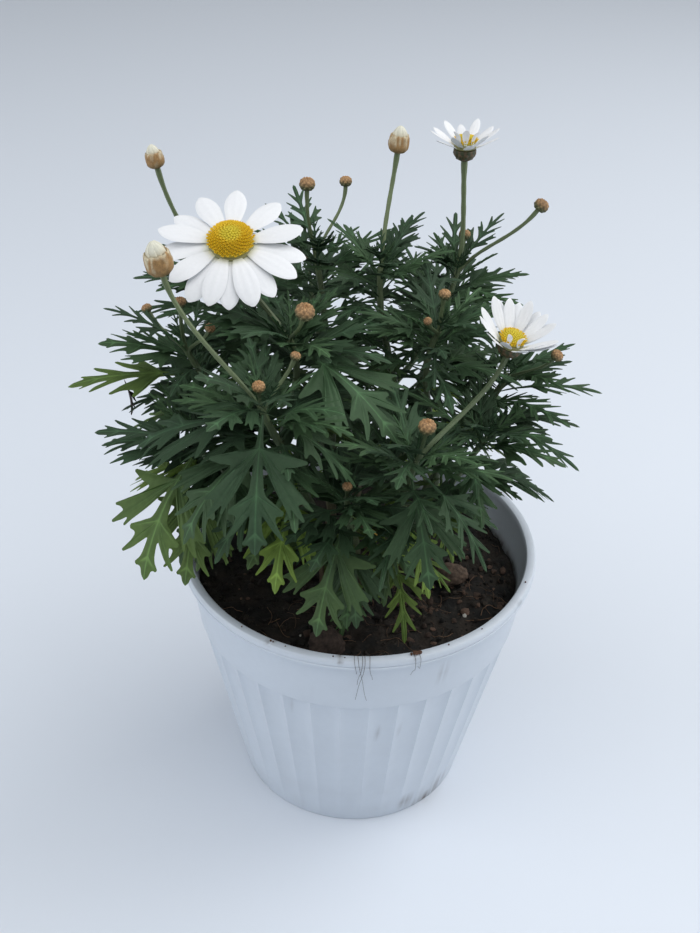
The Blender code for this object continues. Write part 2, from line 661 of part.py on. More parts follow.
def soil_height(x, y):
    """The soil's surface: low mounds that sink a little towards the rim."""
    waves = np.sin(x * 190 + 1.3) * np.cos(y * 170 - 0.4) + 0.6 * np.sin(x * 410 - y * 350 + 2.0)
    crown = 1.5 * np.exp(-(x ** 2 + y ** 2) / SOIL_CROWN_RADIUS ** 2)
    return SOIL_LEVEL + SOIL_ROUGHNESS * (waves + crown)


def soil_shape():
    """The soil fills the pot, a small gap inside its wall."""
    levels = (FLOOR_TOP + SEAT_GAP, BAND_BOTTOM, SOIL_LEVEL - 0.001)
    wall = [circle(inner_radius(level) - SEAT_GAP, level, FLUTES, FLUTE_PHASE) for level in levels]
    top = []
    for share, count in SOIL_RINGS:
        ring = circle(share * inner_radius(SOIL_LEVEL), 0, count, FLUTE_PHASE)
        ring[:, 2] = soil_height(ring[:, 0], ring[:, 1])
        top.append(ring)
    return loft(wall + top)


def make_soil(finish):
    """The soil with a plain hole for each stem."""
    soil = add_object("soil", soil_shape(), finish, sharp=60)
    radius = STEM_RADIUS + HOLE_CLEARANCE
    bottom = STEM_FOOT - STEM_DEPTH - SEAT_GAP
    outline = [(radius, 0), (radius, HOLE_CUT_HEIGHT)]
    holes = [turned((*place, bottom), UPWARD, outline, 8) for place in HOLES.values()]
    cut(soil, several(holes), finish)
    return soil


def make_clod(name, place, radius, soil_tree, finish):
    """A lump of soil that rests on the surface on its flat underside."""
    lump = bmesh.new()
    bmesh.ops.create_icosphere(lump, subdivisions=1, radius=radius)
    points = np.array([v.co[:] for v in lump.verts])
    faces = [tuple(v.index for v in face.verts) for face in lump.faces]
    lump.free()
    rough = 1 + CLOD_ROUGHNESS * np.sin(points @ np.array([900, 700, 500]) + radius * 4000)
    points = points * rough[:, None] * np.array(CLOD_PROPORTIONS)
    points[:, 2] = np.maximum(points[:, 2], -CLOD_SEAT * radius)
    seats = [0.0]
    for dx, dy in product((-1, 0, 1), repeat=2):
        above = Vector((place[0] + dx * radius, place[1] + dy * radius, POT_HEIGHT))
        hit = soil_tree.ray_cast(above, Vector((0, 0, -1)))
        seats.append(hit[0].z if hit[0] else 0.0)
    points += np.array([*place, max(seats) + SEAT_GAP - points[:, 2].min()])
    shape = bmesh.new()
    for point in points:
        shape.verts.new(point)
    hull = bmesh.ops.convex_hull(shape, input=shape.verts)
    bmesh.ops.delete(shape, geom=hull["geom_interior"] + hull["geom_unused"], context="VERTS")
    shape.verts.index_update()
    shape.verts.ensure_lookup_table()
    points = np.array([v.co[:] for v in shape.verts])
    faces = [tuple(v.index for v in face.verts) for face in shape.faces]
    shape.free()
    return add_object(name, (points, faces), finish, sharp=80)


def petal_shapes(name, head):
    """The petals of a bloom with the round plate that holds them."""
    petals = PETALS[name]
    axis = unit(head.axis)
    base = np.array(head.place) + (CUP_HEIGHT + SEAT_GAP) * axis
    right = unit(np.cross((0.0, 1.0, 0.0), axis))
    back = np.cross(axis, right)
    plate_radius = head.width / 2 + PLATE_EDGE
    plate = turned(base, axis, [(plate_radius, 0.0), (plate_radius, PLATE_THICKNESS)], 16)
    shapes = [plate]
    for bearing, layer in zip(petals.bearings, petals.layers):
        turn = math.radians(bearing)
        forward = math.cos(turn) * right + math.sin(turn) * back
        front = max(0.0, -math.sin(turn))
        rise = petals.rise - LAYER_RISE * layer
        droop = petals.droop + petals.front_droop * front
        across, along, lift, faces = blade(petals.kind, BLADE_THICKNESS)
        root_height = PLATE_THICKNESS / 2 + (0.5 - layer) * LAYER_STEP
        root = base + root_height * axis + (head.width / 2 + ROOT_RING) * forward
        points = arched(root, forward, axis, petals.length, rise, droop, across, along, lift,
                        fold=PETAL_FOLD, sag=PETAL_SAG)
        shapes.append((points, faces))
    return shapes


def disc_shape(name, head):
    """A low dome of florets: each floret is a peak, set out in a spiral, with valleys between."""
    axis = unit(head.axis)
    right, back = upright(axis)
    radius = head.width / 2
    count = FLORETS[name]
    lift = CUP_HEIGHT + PLATE_THICKNESS + 2 * SEAT_GAP
    base = np.array(head.place) + lift * axis
    number = np.arange(count)
    reach = radius * FLORET_SPREAD * np.sqrt((number + 0.5) / count)
    turn = number * GOLDEN_ANGLE
    peaks = np.column_stack([reach * np.cos(turn), reach * np.sin(turn)])
    rim_count = 2 * int(round(math.pi * math.sqrt(count) / 2)) + 2
    rim = circle(radius, 0, rim_count)[:, :2]
    flat = np.concatenate([peaks, rim])
    sheet = bmesh.new()
    for x, y in flat:
        sheet.verts.new((x, y, x * x + y * y))
    bmesh.ops.convex_hull(sheet, input=sheet.verts)
    sheet.verts.index_update()
    lower = [f for f in sheet.faces if f.normal.z < 0]
    triangles = [[v.index for v in f.verts] for f in lower]
    sheet.free()

    def dome_point(x, y, relief):
        share = min(math.hypot(x, y) / radius, 1.0)
        height = DISC_EDGE + DISC_RISE[name] * head.width * (1 - share ** 2) + relief
        return base + x * right + y * back + height * axis

    points = [dome_point(x, y, FLORET_HEIGHT if i < count else 0.0) for i, (x, y) in enumerate(flat)]
    faces = []
    for a, b, c in triangles:
        x, y = flat[[a, b, c]].mean(axis=0)
        centre = len(points)
        points.append(dome_point(x, y, -FLORET_VALLEY * (1 - math.hypot(x, y) / radius)))
        faces += [(b, a, centre), (c, b, centre), (a, c, centre)]
    first_rim = count
    bottom = len(points)
    points += [base + x * right + y * back for x, y in rim]
    for i in range(rim_count):
        j = (i + 1) % rim_count
        faces.append((first_rim + j, first_rim + i, bottom + i, bottom + j))
    faces.append(tuple(bottom + i for i in reversed(range(rim_count))))
    return np.array(points), faces


def bud_profile(width):
    """The outline of a closed bud: a round knob on a short neck, a little flat on top."""
    shares = [(0.17, 0.0), (0.50, 0.26), (0.46, 0.62), (0, 0.90)]
    return [(width * across, width * along) for across, along in shares]


def cup_profile(width):
    """The outline of an opening bud's cup of bracts, flat on top."""
    shares = [(0.14, 0.0), (0.40, 0.10), (0.52, 0.38), (0.47, 0.70), (0.33, 0.86)]
    return [(width * across, width * along) for across, along in shares]


def tuft_profile(width):
    """The outline of the furled petals that stand out of an opening bud."""
    shares = [(0.27, 0.0), (0.34, 0.14), (0.24, 0.34), (0, 0.42)]
    return [(width * across, width * along) for across, along in shares]


def bract_profile(width):
    """The outline of the green cup of bracts under a bloom."""
    return [(2 * STALK_RADIUS, -0.0010), (0.44 * width, 0.0016), (0.46 * width, CUP_HEIGHT)]


def keep_out_profile():
    """The pot's outline with a little room round its rim, for leaves to stay clear of."""
    low = POT_HEIGHT - LIP_HEIGHT
    top = POT_HEIGHT + LEAF_CLEARANCE
    outer = LIP_RADIUS + LEAF_CLEARANCE
    return [(BASE_RADIUS, 0), (BAND_TOP_RADIUS, low), (outer, low), (outer, top),
            (MOUTH_RADIUS - LEAF_CLEARANCE, top), (INNER_BAND_RADIUS - LEAF_CLEARANCE, BAND_BOTTOM)]


def build():
    """Make every piece of the plant and its pot."""
    finishes = {name: material(name) for name in COLOURS}
    make_pot(finishes["pot"])
    make_soil(finishes["soil"])
    soil_tree = tree_of(soil_shape())
    for name, (place, radius) in CLODS.items():
        make_clod(name, place, radius, soil_tree, finishes["clod"])

    paths = shoot_paths()
    stems = {stem: [] for stem in HOLES}
    space = Space()
    space.add("pot", turned((0, 0, 0), UPWARD, keep_out_profile(), FLUTES))
    soil_points, soil_faces = soil_shape()
    space.add("soil", (soil_points + LEAF_CLEARANCE * UPWARD, soil_faces))
    for name, shoot in SHOOTS.items():
        path = paths[name]
        thick = STEM_RADIUS if path[0][2] < SOIL_LEVEL else SHOOT_RADIUS
        radii = np.linspace(thick, TIP_RADIUS, len(path))
        radii[:2] = thick
        shape = tube(path, radii, 6)
        stems[shoot.stem].append(shape)
        space.add(shoot.stem, shape)

    for name, head in HEADS.items():
        stem = SHOOTS[head.shoot].stem
        path = stalk_path(head, paths)
        stalk = tube(path, np.full(len(path), STALK_RADIUS), 5, head.axis)
        stems[stem].append(stalk)
        space.add(stem, stalk)
        place = np.array(head.place)
        axis = unit(head.axis)
        if head.kind == "bud":
            shape = turned(place + SEAT_GAP * axis, axis, bud_profile(head.width), 8, BUD_SWELL)
            add_object(name, shape, finishes["bud"])
            space.add(name, shape)
        elif head.kind == "white_bud":
            profile = cup_profile(head.width)
            cup = turned(place + SEAT_GAP * axis, axis, profile, 10, BUD_SWELL)
            tuft_place = place + (2 * SEAT_GAP + profile[-1][1]) * axis
            tuft = turned(tuft_place, axis, tuft_profile(head.width), 8, BUD_SWELL)
            add_object(name + "_cup", cup, finishes["bud"])
            add_object(name + "_tuft", tuft, finishes["bud_tip"])
            space.add(name, cup)
            space.add(name, tuft)
        else:
            bracts = turned(place, axis, bract_profile(head.width), 10, BUD_SWELL)
            stems[stem].append(bracts)
            petals = petal_shapes(name, head)
            disc = disc_shape(name, head)
            fuse(name + "_petals", petals, finishes["petal"])
            add_object(name + "_disc", disc, finishes["disc"], sharp=20)
            for shape in petals + [disc]:
                space.add(name, shape)

    for leaf in place_leaves(paths, space):
        stems[SHOOTS[leaf.shoot].stem].append(leaf_shape(leaf, paths, BLADE_THICKNESS))
    for stem, shapes in stems.items():
        fuse(stem, shapes, finishes["foliage"])


build()
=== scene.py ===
import math
from collections import namedtuple
from itertools import product

import bpy
import numpy as np
from mathutils import Matrix, Vector
from mathutils.bvhtree import BVHTree
from mathutils.kdtree import KDTree


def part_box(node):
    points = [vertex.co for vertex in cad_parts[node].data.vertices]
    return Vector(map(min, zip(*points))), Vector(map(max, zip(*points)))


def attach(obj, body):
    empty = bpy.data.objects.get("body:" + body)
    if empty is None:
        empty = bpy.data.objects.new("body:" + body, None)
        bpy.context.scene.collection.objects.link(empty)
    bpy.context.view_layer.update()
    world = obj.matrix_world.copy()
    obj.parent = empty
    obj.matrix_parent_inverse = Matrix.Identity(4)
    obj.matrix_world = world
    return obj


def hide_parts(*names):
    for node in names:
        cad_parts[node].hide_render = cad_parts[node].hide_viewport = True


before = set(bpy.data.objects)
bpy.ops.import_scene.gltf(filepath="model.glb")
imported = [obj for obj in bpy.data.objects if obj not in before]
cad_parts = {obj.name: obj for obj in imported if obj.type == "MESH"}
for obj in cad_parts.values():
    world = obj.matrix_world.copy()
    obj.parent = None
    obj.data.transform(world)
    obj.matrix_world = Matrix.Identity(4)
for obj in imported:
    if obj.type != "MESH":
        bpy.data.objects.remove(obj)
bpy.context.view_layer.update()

# Pot: white plastic drawn in one piece, with a rolled lip, a plain band and 36 hollow flutes between
# sharp ridges. The band stands a little over the flutes. Soil has smudged it by the rim and the foot.
# Painted shade darkens the pot's bare inner wall, most just above the soil.
POT_HEIGHT = 0.128
FLUTES = 36
FLUTE_COLUMNS = 12
FLUTE_PHASE = math.radians(-90 + 180 / FLUTES)
FLUTE_LOW = 0.0012
FLUTE_HIGH = 0.0944
FLUTE_LEVELS = 14
FLUTE_DEPTHS = (0.0003, 0.0018)
FLUTE_POWER = 2.5
BASE_RADIUS = 0.0539
BAND_RADIUS = 0.0731
FLOOR_TOP = 0.0044
DRAIN_HOLES = 6
DRAIN_RADIUS = 0.0045
DRAIN_CIRCLE = 0.030
DRAIN_HEIGHTS = (-0.002, 0.008)
DRAIN_SIDES = 24
POT_BELOW = [(0.0, 0.0), (0.0152, 0.0), (0.0158, 0.0003), (0.0166, 0.0021), (0.0172, 0.0024),
             (0.0300, 0.0024), (0.0449, 0.0024), (0.0456, 0.0021), (0.0466, 0.0003), (0.0473, 0.0),
             (0.0526, 0.0), (0.0534, 0.0003)]
POT_ABOVE = [(0.0731, 0.0946), (0.0734, 0.0948), (0.0736, 0.0953), (0.0745, 0.1020), (0.0755, 0.1100),
             (0.0766, 0.1190), (0.0770, 0.1222), (0.0776, 0.1225), (0.0792, 0.1226), (0.0798, 0.1229),
             (0.0800, 0.1236), (0.0800, 0.1241), (0.0796, 0.1244), (0.0796, 0.1247), (0.0800, 0.1250),
             (0.0801, 0.1260), (0.0799, 0.1270), (0.0794, 0.1277), (0.0786, 0.1280), (0.0770, 0.1280),
             (0.0762, 0.1277), (0.0757, 0.1270), (0.0755, 0.1255), (0.0752, 0.1213), (0.0746, 0.1182),
             (0.0740, 0.1150), (0.0736, 0.1130), (0.0732, 0.1110), (0.0728, 0.1090), (0.0698, 0.0948),
             (0.0650, 0.0718), (0.0560, 0.0280), (0.0515, 0.0056), (0.0505, FLOOR_TOP),
             (0.0300, FLOOR_TOP), (0.0, FLOOR_TOP)]
# Each smudge: bearing, height, how far round and up it reaches, and how dark it is
SMUDGES = [(-107, 0.0974, 0.0030, 0.0012, 0.8), (-104, 0.1034, 0.0012, 0.0012, 0.5),
           (-112, 0.0883, 0.0010, 0.0016, 0.6), (-69, 0.1000, 0.0011, 0.0009, 0.7),
           (-81, 0.0741, 0.0010, 0.0022, 0.5), (-73, 0.0743, 0.0009, 0.0020, 0.5),
           (-40, 0.0909, 0.0020, 0.0012, 0.5), (-40, 0.0068, 0.0040, 0.0022, 0.9),
           (-55, 0.0057, 0.0060, 0.0020, 1.0), (-62, 0.0073, 0.0030, 0.0016, 0.9),
           (-48, 0.0012, 0.0080, 0.0012, 1.0), (-117, 0.1279, 0.0016, 0.0010, 0.9),
           (-95, 0.1273, 0.0012, 0.0010, 0.9), (-61, 0.1101, 0.0022, 0.0012, 0.5),
           (-45, 0.0975, 0.0012, 0.0010, 0.5), (-72, 0.1279, 0.0014, 0.0010, 1.2),
           (-30, 0.1262, 0.0050, 0.0012, 0.5), (40, 0.0060, 0.0080, 0.0025, 0.7),
           (130, 0.1010, 0.0030, 0.0016, 0.6), (165, 0.0050, 0.0060, 0.0020, 0.8)]
# The plain band leans out by its slope. The bare wall inside lies in from it by the inset, and is seen
# between two heights
BAND_FOOT = 0.0948
BAND_SLOPE = 0.142
WALL_INSET = 0.0012
WALL_HEIGHTS = (0.100, 0.1275)
# Below this height the painted shade on the bare inner wall is darkest
WALL_SHADE_TOP = 0.1142
PLASTIC_WHITE = (0.60, 0.66, 0.735)
DIRT_AND_SHADE = np.array((0.075, 0.050, 0.032))
# Edges from this many degrees up stay sharp
POT_SHARP = 30
# Right, back and up, for what is turned round an upright axis
LEVEL_WAYS = np.eye(3)


def unit(vector):
    """The vector at length one."""
    vector = np.asarray(vector, dtype=float)
    return vector / np.linalg.norm(vector)


def lattice_noise(points, cell, seed):
    """Smooth noise from -1 to 1: random values at the corners of cubes of side `cell`, eased between them."""
    place = np.asarray(points, dtype=float) / cell
    corner = np.floor(place).astype(np.int64)
    share = place - corner
    share = share * share * (3 - 2 * share)
    table = np.random.default_rng(seed).uniform(-1, 1, 4096)
    total = np.zeros(len(place))
    for step in product((0, 1), repeat=3):
        x, y, z = (corner + step).T
        weight = np.prod(np.where(step, share, 1 - share), axis=1)
        total += weight * table[(x * 73856093 ^ y * 19349663 ^ z * 83492791) % 4096]
    return total


def blend(first, second, share):
    """From the first value to the second by a share from 0 to 1."""
    return first + share * (second - first)


def mottled(colour, points, amount, cell, seed):
    """The colour at each point, darker or lighter by up to an amount, by noise of a cell's size."""
    return np.asarray(colour) * (1 + amount * lattice_noise(points, cell, seed))[:, None]


def grid_triangles(rows, columns, wrap):
    """Triangles over rows of points, facing out where the rows rise and the columns run anticlockwise."""
    row = np.arange(rows - 1)[:, None]
    column = np.arange(columns if wrap else columns - 1)[None, :]
    here = row * columns + column
    beside = row * columns + (column + 1) % columns
    above = here + columns
    across = beside + columns
    halves = [np.stack([here, beside, across], -1), np.stack([here, across, above], -1)]
    return np.concatenate([half.reshape(-1, 3) for half in halves])


def weld(points, triangles, step=1e-7):
    """The surface with equal points made one, and the points that stay.

    Triangles that have collapsed, or that lie back to back on the same three points, are dropped.
    """
    cells = np.round(np.asarray(points) / step).astype(np.int64)
    _, kept, number = np.unique(cells, axis=0, return_index=True, return_inverse=True)
    triangles = number.reshape(-1)[triangles]
    a, b, c = triangles.T
    triangles = triangles[(a != b) & (b != c) & (c != a)]
    _, same, times = np.unique(np.sort(triangles, axis=1), axis=0, return_inverse=True, return_counts=True)
    return points[kept], triangles[times[same.reshape(-1)] == 1], kept


def joined(parts):
    """Several surfaces as one, with the further arrays that come with their points."""
    firsts = np.cumsum([0] + [len(part[0]) for part in parts[:-1]])
    triangles = np.concatenate([part[1] + first for part, first in zip(parts, firsts)])
    others = [np.concatenate([part[k] for part in parts]) for k in range(2, len(parts[0]))]
    return [np.concatenate([part[0] for part in parts]), triangles, *others]


def turned(place, ways, radius, height, columns, phase=0.0):
    """Rings of points at place + radius * (cos t * right + sin t * back) + height * axis.

    The ways are right, back and axis. Radius and height have a row for each ring, and a column for each
    bearing t where they change round it.
    """
    turn = phase + np.arange(columns) * 2 * math.pi / columns
    radius, height = (np.reshape(value, (len(value), -1)) + 0 * turn for value in (radius, height))
    shares = (radius * np.cos(turn), radius * np.sin(turn), height)
    return place + sum(share.ravel()[:, None] * way for share, way in zip(shares, ways))


def turned_surface(place, ways, radius, height, columns, phase=0.0):
    """The closed surface over such rings, with equal points made one, and the points that stay."""
    points = turned(place, ways, radius, height, columns, phase)
    return weld(points, grid_triangles(len(radius), columns, True))


def set_tint(mesh, tint):
    """One colour for each point of the mesh, for its finish."""
    colours = np.ones((len(mesh.vertices), 4), np.float32)
    colours[:, :3] = tint
    mesh.attributes.new("tint", "FLOAT_COLOR", "POINT").data.foreach_set("color", colours.ravel())


def shape_object(name, points, triangles, finish, sharp=40, tint=None, **values):
    """An object from points and triangles, with a colour and further numbers per point for its finish."""
    mesh = bpy.data.meshes.new(name)
    mesh.from_pydata(np.asarray(points).tolist(), [], np.asarray(triangles).tolist())
    mesh.update()
    mesh.shade_smooth()
    mesh.set_sharp_from_angle(angle=math.radians(sharp))
    if tint is not None:
        set_tint(mesh, tint)
    for key, numbers in values.items():
        numbers = np.ascontiguousarray(numbers, np.float32)
        mesh.attributes.new(key, "FLOAT", "POINT").data.foreach_set("value", numbers)
    mesh.materials.append(finish)
    thing = bpy.data.objects.new(name, mesh)
    bpy.context.scene.collection.objects.link(thing)
    return thing


def add_node(finish, kind, sockets, **settings):
    """A shader node, with each named input set to a value or joined to another node's output."""
    made = finish.node_tree.nodes.new("ShaderNode" + kind)
    for name, value in settings.items():
        setattr(made, name, value)
    for name, value in sockets.items():
        if isinstance(value, bpy.types.NodeSocket):
            finish.node_tree.links.new(value, made.inputs[name])
        else:
            made.inputs[name].default_value = value
    return made


def grained_finish(name, roughness, grain, mottle, bump, depth, **shader_values):
    """A finish that takes its colour from the piece's tint, mottled and roughened by noise.

    Grain is the noise's scale, mottle the share by which it darkens and lightens, bump its strength, and
    depth the bump's height in metres.
    """
    finish = bpy.data.materials.new(name)
    finish.use_nodes = True
    links = finish.node_tree.links
    shader = finish.node_tree.nodes["Principled BSDF"]
    place = add_node(finish, "TexCoord", {}).outputs["Object"]
    tint = add_node(finish, "Attribute", {}, attribute_name="tint").outputs["Color"]
    noise = add_node(finish, "TexNoise", {"Vector": place, "Scale": grain, "Detail": 5.0}).outputs["Fac"]
    share = add_node(finish, "MapRange", {"Value": noise, "From Min": 0.25, "From Max": 0.75,
                                          "To Min": 1 - mottle, "To Max": 1 + mottle}).outputs["Result"]
    colour = add_node(finish, "VectorMath", {0: tint, 1: share}, operation="MULTIPLY").outputs[0]
    relief = add_node(finish, "Bump", {"Height": noise, "Strength": bump, "Distance": depth})
    links.new(colour, shader.inputs["Base Color"])
    links.new(relief.outputs["Normal"], shader.inputs["Normal"])
    shader.inputs["Roughness"].default_value = roughness
    for key, value in shader_values.items():
        shader.inputs[key.replace("_", " ")].default_value = value
    return finish


def pot_surface():
    """The pot's outline turned round the z axis, and where it is fluted, drawn in between the ridges.

    The radius between two ridges is less by depth * (1 - |2s - 1| ** power), s running from 0 to 1.
    """
    climb = np.linspace(0, 1, FLUTE_LEVELS)
    fluted = np.column_stack([BASE_RADIUS + (BAND_RADIUS - BASE_RADIUS) * climb,
                              FLUTE_LOW + (FLUTE_HIGH - FLUTE_LOW) * climb])
    profile = np.concatenate([POT_BELOW, fluted, POT_ABOVE])
    depth = np.zeros(len(profile))
    depth[len(POT_BELOW):len(POT_BELOW) + FLUTE_LEVELS] = (
        FLUTE_DEPTHS[0] + (FLUTE_DEPTHS[1] - FLUTE_DEPTHS[0]) * climb)
    columns = FLUTES * FLUTE_COLUMNS
    share = (np.arange(columns) % FLUTE_COLUMNS) / FLUTE_COLUMNS
    hollow = 1 - np.abs(2 * share - 1) ** FLUTE_POWER
    radius = profile[:, :1] - depth[:, None] * hollow
    return turned_surface(np.zeros(3), LEVEL_WAYS, radius, profile[:, 1], columns, FLUTE_PHASE)[:2]


def drain_cutter():
    """Upright rods where the floor's drain holes go."""
    rods = []
    for hole in range(DRAIN_HOLES):
        bearing = hole * 2 * math.pi / DRAIN_HOLES
        middle = DRAIN_CIRCLE * np.array([math.cos(bearing), math.sin(bearing), 0.0])
        radii = [0.0, DRAIN_RADIUS, DRAIN_RADIUS, 0.0]
        heights = np.repeat(DRAIN_HEIGHTS, 2)
        rods.append(turned_surface(middle, LEVEL_WAYS, radii, heights, DRAIN_SIDES)[:2])
    return joined(rods)


def cut(thing, cutter):
    """Take the cutter's volume out of the thing for good, and remove the cutter."""
    holes = thing.modifiers.new("Holes", "BOOLEAN")
    holes.operation = "DIFFERENCE"
    holes.object = cutter
    graph = bpy.context.evaluated_depsgraph_get()
    pierced = bpy.data.meshes.new_from_object(thing.evaluated_get(graph))
    thing.modifiers.clear()
    thing.data = pierced
    bpy.data.objects.remove(cutter)


def dirt_and_shade_on(points):
    """How dark each point of the pot is: smudges broken up by noise, dust low in the flutes, and painted
    shade on the inner wall.
    """
    height = points[:, 2]
    bearing = np.degrees(np.arctan2(points[:, 1], points[:, 0]))
    radius = np.hypot(points[:, 0], points[:, 1])
    broken = np.clip(0.55 + 0.9 * lattice_noise(points, 0.0016, 3), 0, 1.4)
    dirt = np.zeros(len(points))
    for turn, level, wide, high, strength in SMUDGES:
        aside = np.radians((bearing - turn + 180) % 360 - 180) * radius
        dirt += strength * np.exp(-(aside / wide) ** 2 - ((height - level) / high) ** 2)
    wall = BAND_RADIUS + (height - BAND_FOOT) * BAND_SLOPE - WALL_INSET
    inside = (radius < wall) & (height > WALL_HEIGHTS[0]) & (height < WALL_HEIGHTS[1])
    # Painted shade on the inner wall, darkest by the soil and broken up a little by noise
    wall_shade = 0.75 * np.clip((WALL_SHADE_TOP - height) / 0.005, 0, 1) ** 2 + 0.05
    dust = 0.10 * np.clip(lattice_noise(points, 0.008, 4), 0, 1) * np.clip(1 - height / 0.06, 0, 1)
    return np.clip(np.where(inside, wall_shade * (0.6 + 0.4 * broken), dirt * broken + dust), 0, 1)


plastic = grained_finish("pot_plastic", 0.40, 220, 0.015, 0.15, 0.0003, Coat_Weight=0.08)
pot_piece = shape_object("pot_body", *pot_surface(), plastic, POT_SHARP)
cut(pot_piece, shape_object("pot_drains", *drain_cutter(), plastic))
pot_points = np.array([v.co for v in pot_piece.data.vertices])
pot_colour = mottled(PLASTIC_WHITE, pot_points, 0.02, 0.02, 5)
set_tint(pot_piece.data, blend(pot_colour, DIRT_AND_SHADE, dirt_and_shade_on(pot_points)[:, None]))
pot_piece.data.set_sharp_from_angle(angle=math.radians(POT_SHARP))
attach(pot_piece, "root")
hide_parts("pot")

# Soil: dark, damp potting peat that fills the pot to 18 mm below the rim. It is rough and crumbly, with
# a low crown round the stems, and is pressed against the pot's wall down to the floor.
SOIL_LEVEL = 0.110
SOIL_ROUGHNESS = 0.0013
SOIL_CROWN_RADIUS = 0.030
SOIL_RINGS = 92
SOIL_COLUMNS = 256
SOIL_EDGE = 0.0724
SOIL_WALL = [(0.0, 0.0047), (0.0506, 0.0047), (0.0512, 0.0060), (0.0695, 0.0948), (0.0722, 0.1075)]
# Crumbs of three sizes: how high, how wide, how far their hollows go down, and the noise's seed
SOIL_CRUMBS = [(0.0009, 0.0045, -0.4, 11), (0.0007, 0.0021, -0.3, 12), (0.0004, 0.0010, -1.0, 13)]
PEAT_BLACK = np.array((0.0045, 0.0046, 0.0040))
PEAT_BROWN = np.array((0.024, 0.018, 0.013))
PALE_GRAIN = np.array((0.10, 0.085, 0.065))


def soil_height(x, y):
    """The soil's low mounds: two crossed waves and a crown in the middle."""
    waves = np.sin(x * 190 + 1.3) * np.cos(y * 170 - 0.4) + 0.6 * np.sin(x * 410 - y * 350 + 2.0)
    crown = 1.5 * np.exp(-(x ** 2 + y ** 2) / SOIL_CROWN_RADIUS ** 2)
    return SOIL_LEVEL + SOIL_ROUGHNESS * (waves + crown)


def soil_relief(x, y):
    """The mounds with crumbs of three sizes, from noise whose lower part is flattened."""
    flat = np.column_stack([x, y, np.zeros(len(x))])
    crumbs = sum(high * np.maximum(lattice_noise(flat, wide, seed), low)
                 for high, wide, low, seed in SOIL_CRUMBS)
    settled = np.clip((SOIL_EDGE - np.hypot(x, y)) / 0.004, 0, 1)
    return soil_height(x, y) + crumbs * (0.4 + 0.6 * settled) - 0.0012 * (1 - settled)


def soil_tint(points, seed):
    """Colour of soil: near black peat with browner patches and a few pale grains."""
    patches = 0.8 * lattice_noise(points, 0.006, seed) + 0.5 * lattice_noise(points, 0.0018, seed + 1)
    brown = np.clip(0.5 + patches, 0, 1)[:, None]
    pale = np.clip(lattice_noise(points, 0.0013, seed + 2) * 4 - 3.2, 0, 1)[:, None]
    return blend(PEAT_BLACK, PEAT_BROWN, brown) + pale * PALE_GRAIN


def soil_surface():
    """Rings of points from the floor up the wall and in over the rough top to its middle."""
    wall_radii, wall_heights = np.array(SOIL_WALL).T
    radius = np.concatenate([wall_radii, np.linspace(SOIL_EDGE, 0, SOIL_RINGS)])
    points = turned(np.zeros(3), LEVEL_WAYS, radius, np.zeros(len(radius)), SOIL_COLUMNS)
    points[:, 2] = soil_relief(points[:, 0], points[:, 1])
    points[:len(SOIL_WALL) * SOIL_COLUMNS, 2] = np.repeat(wall_heights, SOIL_COLUMNS)
    return weld(points, grid_triangles(len(radius), SOIL_COLUMNS, True))[:2]


peat = grained_finish("soil_peat", 0.92, 900, 0.35, 0.8, 0.0006)
soil_points, soil_triangles = soil_surface()
soil_piece = shape_object("soil_bed", soil_points, soil_triangles, peat, 70, soil_tint(soil_points, 21))
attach(soil_piece, "root")
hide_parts("soil")

# Crumbs and grains: loose bits of peat and bark and a few white grains of pumice on the soil. Each is a
# small uneven lump, about a third of it sunk into the surface.
CRUMBS = 1300
CRUMB_CIRCLE = 0.0705
PUMICE_SHARE = 0.008
PUMICE_WHITE = (0.42, 0.41, 0.37)
ICOSAHEDRON = np.array([(0, 1, 1.618), (0, -1, 1.618), (0, 1, -1.618), (0, -1, -1.618), (1, 1.618, 0),
                        (-1, 1.618, 0), (1, -1.618, 0), (-1, -1.618, 0), (1.618, 0, 1), (-1.618, 0, 1),
                        (1.618, 0, -1), (-1.618, 0, -1)]) / 1.9
ICOSAHEDRON_FACES = np.array([(0, 1, 8), (0, 9, 1), (0, 8, 4), (0, 5, 9), (0, 4, 5), (1, 9, 7), (1, 7, 6),
                              (1, 6, 8), (2, 3, 11), (2, 10, 3), (2, 4, 10), (2, 11, 5), (2, 5, 4),
                              (3, 6, 7), (3, 7, 11), (3, 10, 6), (4, 8, 10), (5, 11, 9), (6, 10, 8),
                              (7, 9, 11)])
LUMP_CORNERS = len(ICOSAHEDRON)


def scattered_lumps(places, sizes, rng):
    """Small uneven lumps: one 20-sided ball, its corners moved in or out and stretched along its axes."""
    count = len(places)
    reach = rng.uniform(0.7, 1.2, (count, LUMP_CORNERS, 1)) * rng.uniform(0.6, 1.25, (count, 1, 3))
    points = places[:, None, :] + ICOSAHEDRON[None] * reach * sizes[:, None, None]
    faces = ICOSAHEDRON_FACES[None] + LUMP_CORNERS * np.arange(count)[:, None, None]
    return points.reshape(-1, 3), faces.reshape(-1, 3)


def laid_lumps(turn, reach, sizes, raised, rng):
    """Lumps on the soil at bearings and distances, raised by a share of their sizes, and their middles."""
    x = reach * np.cos(turn)
    y = reach * np.sin(turn)
    places = np.column_stack([x, y, soil_relief(x, y) + raised * sizes])
    return *scattered_lumps(places, sizes, rng), places


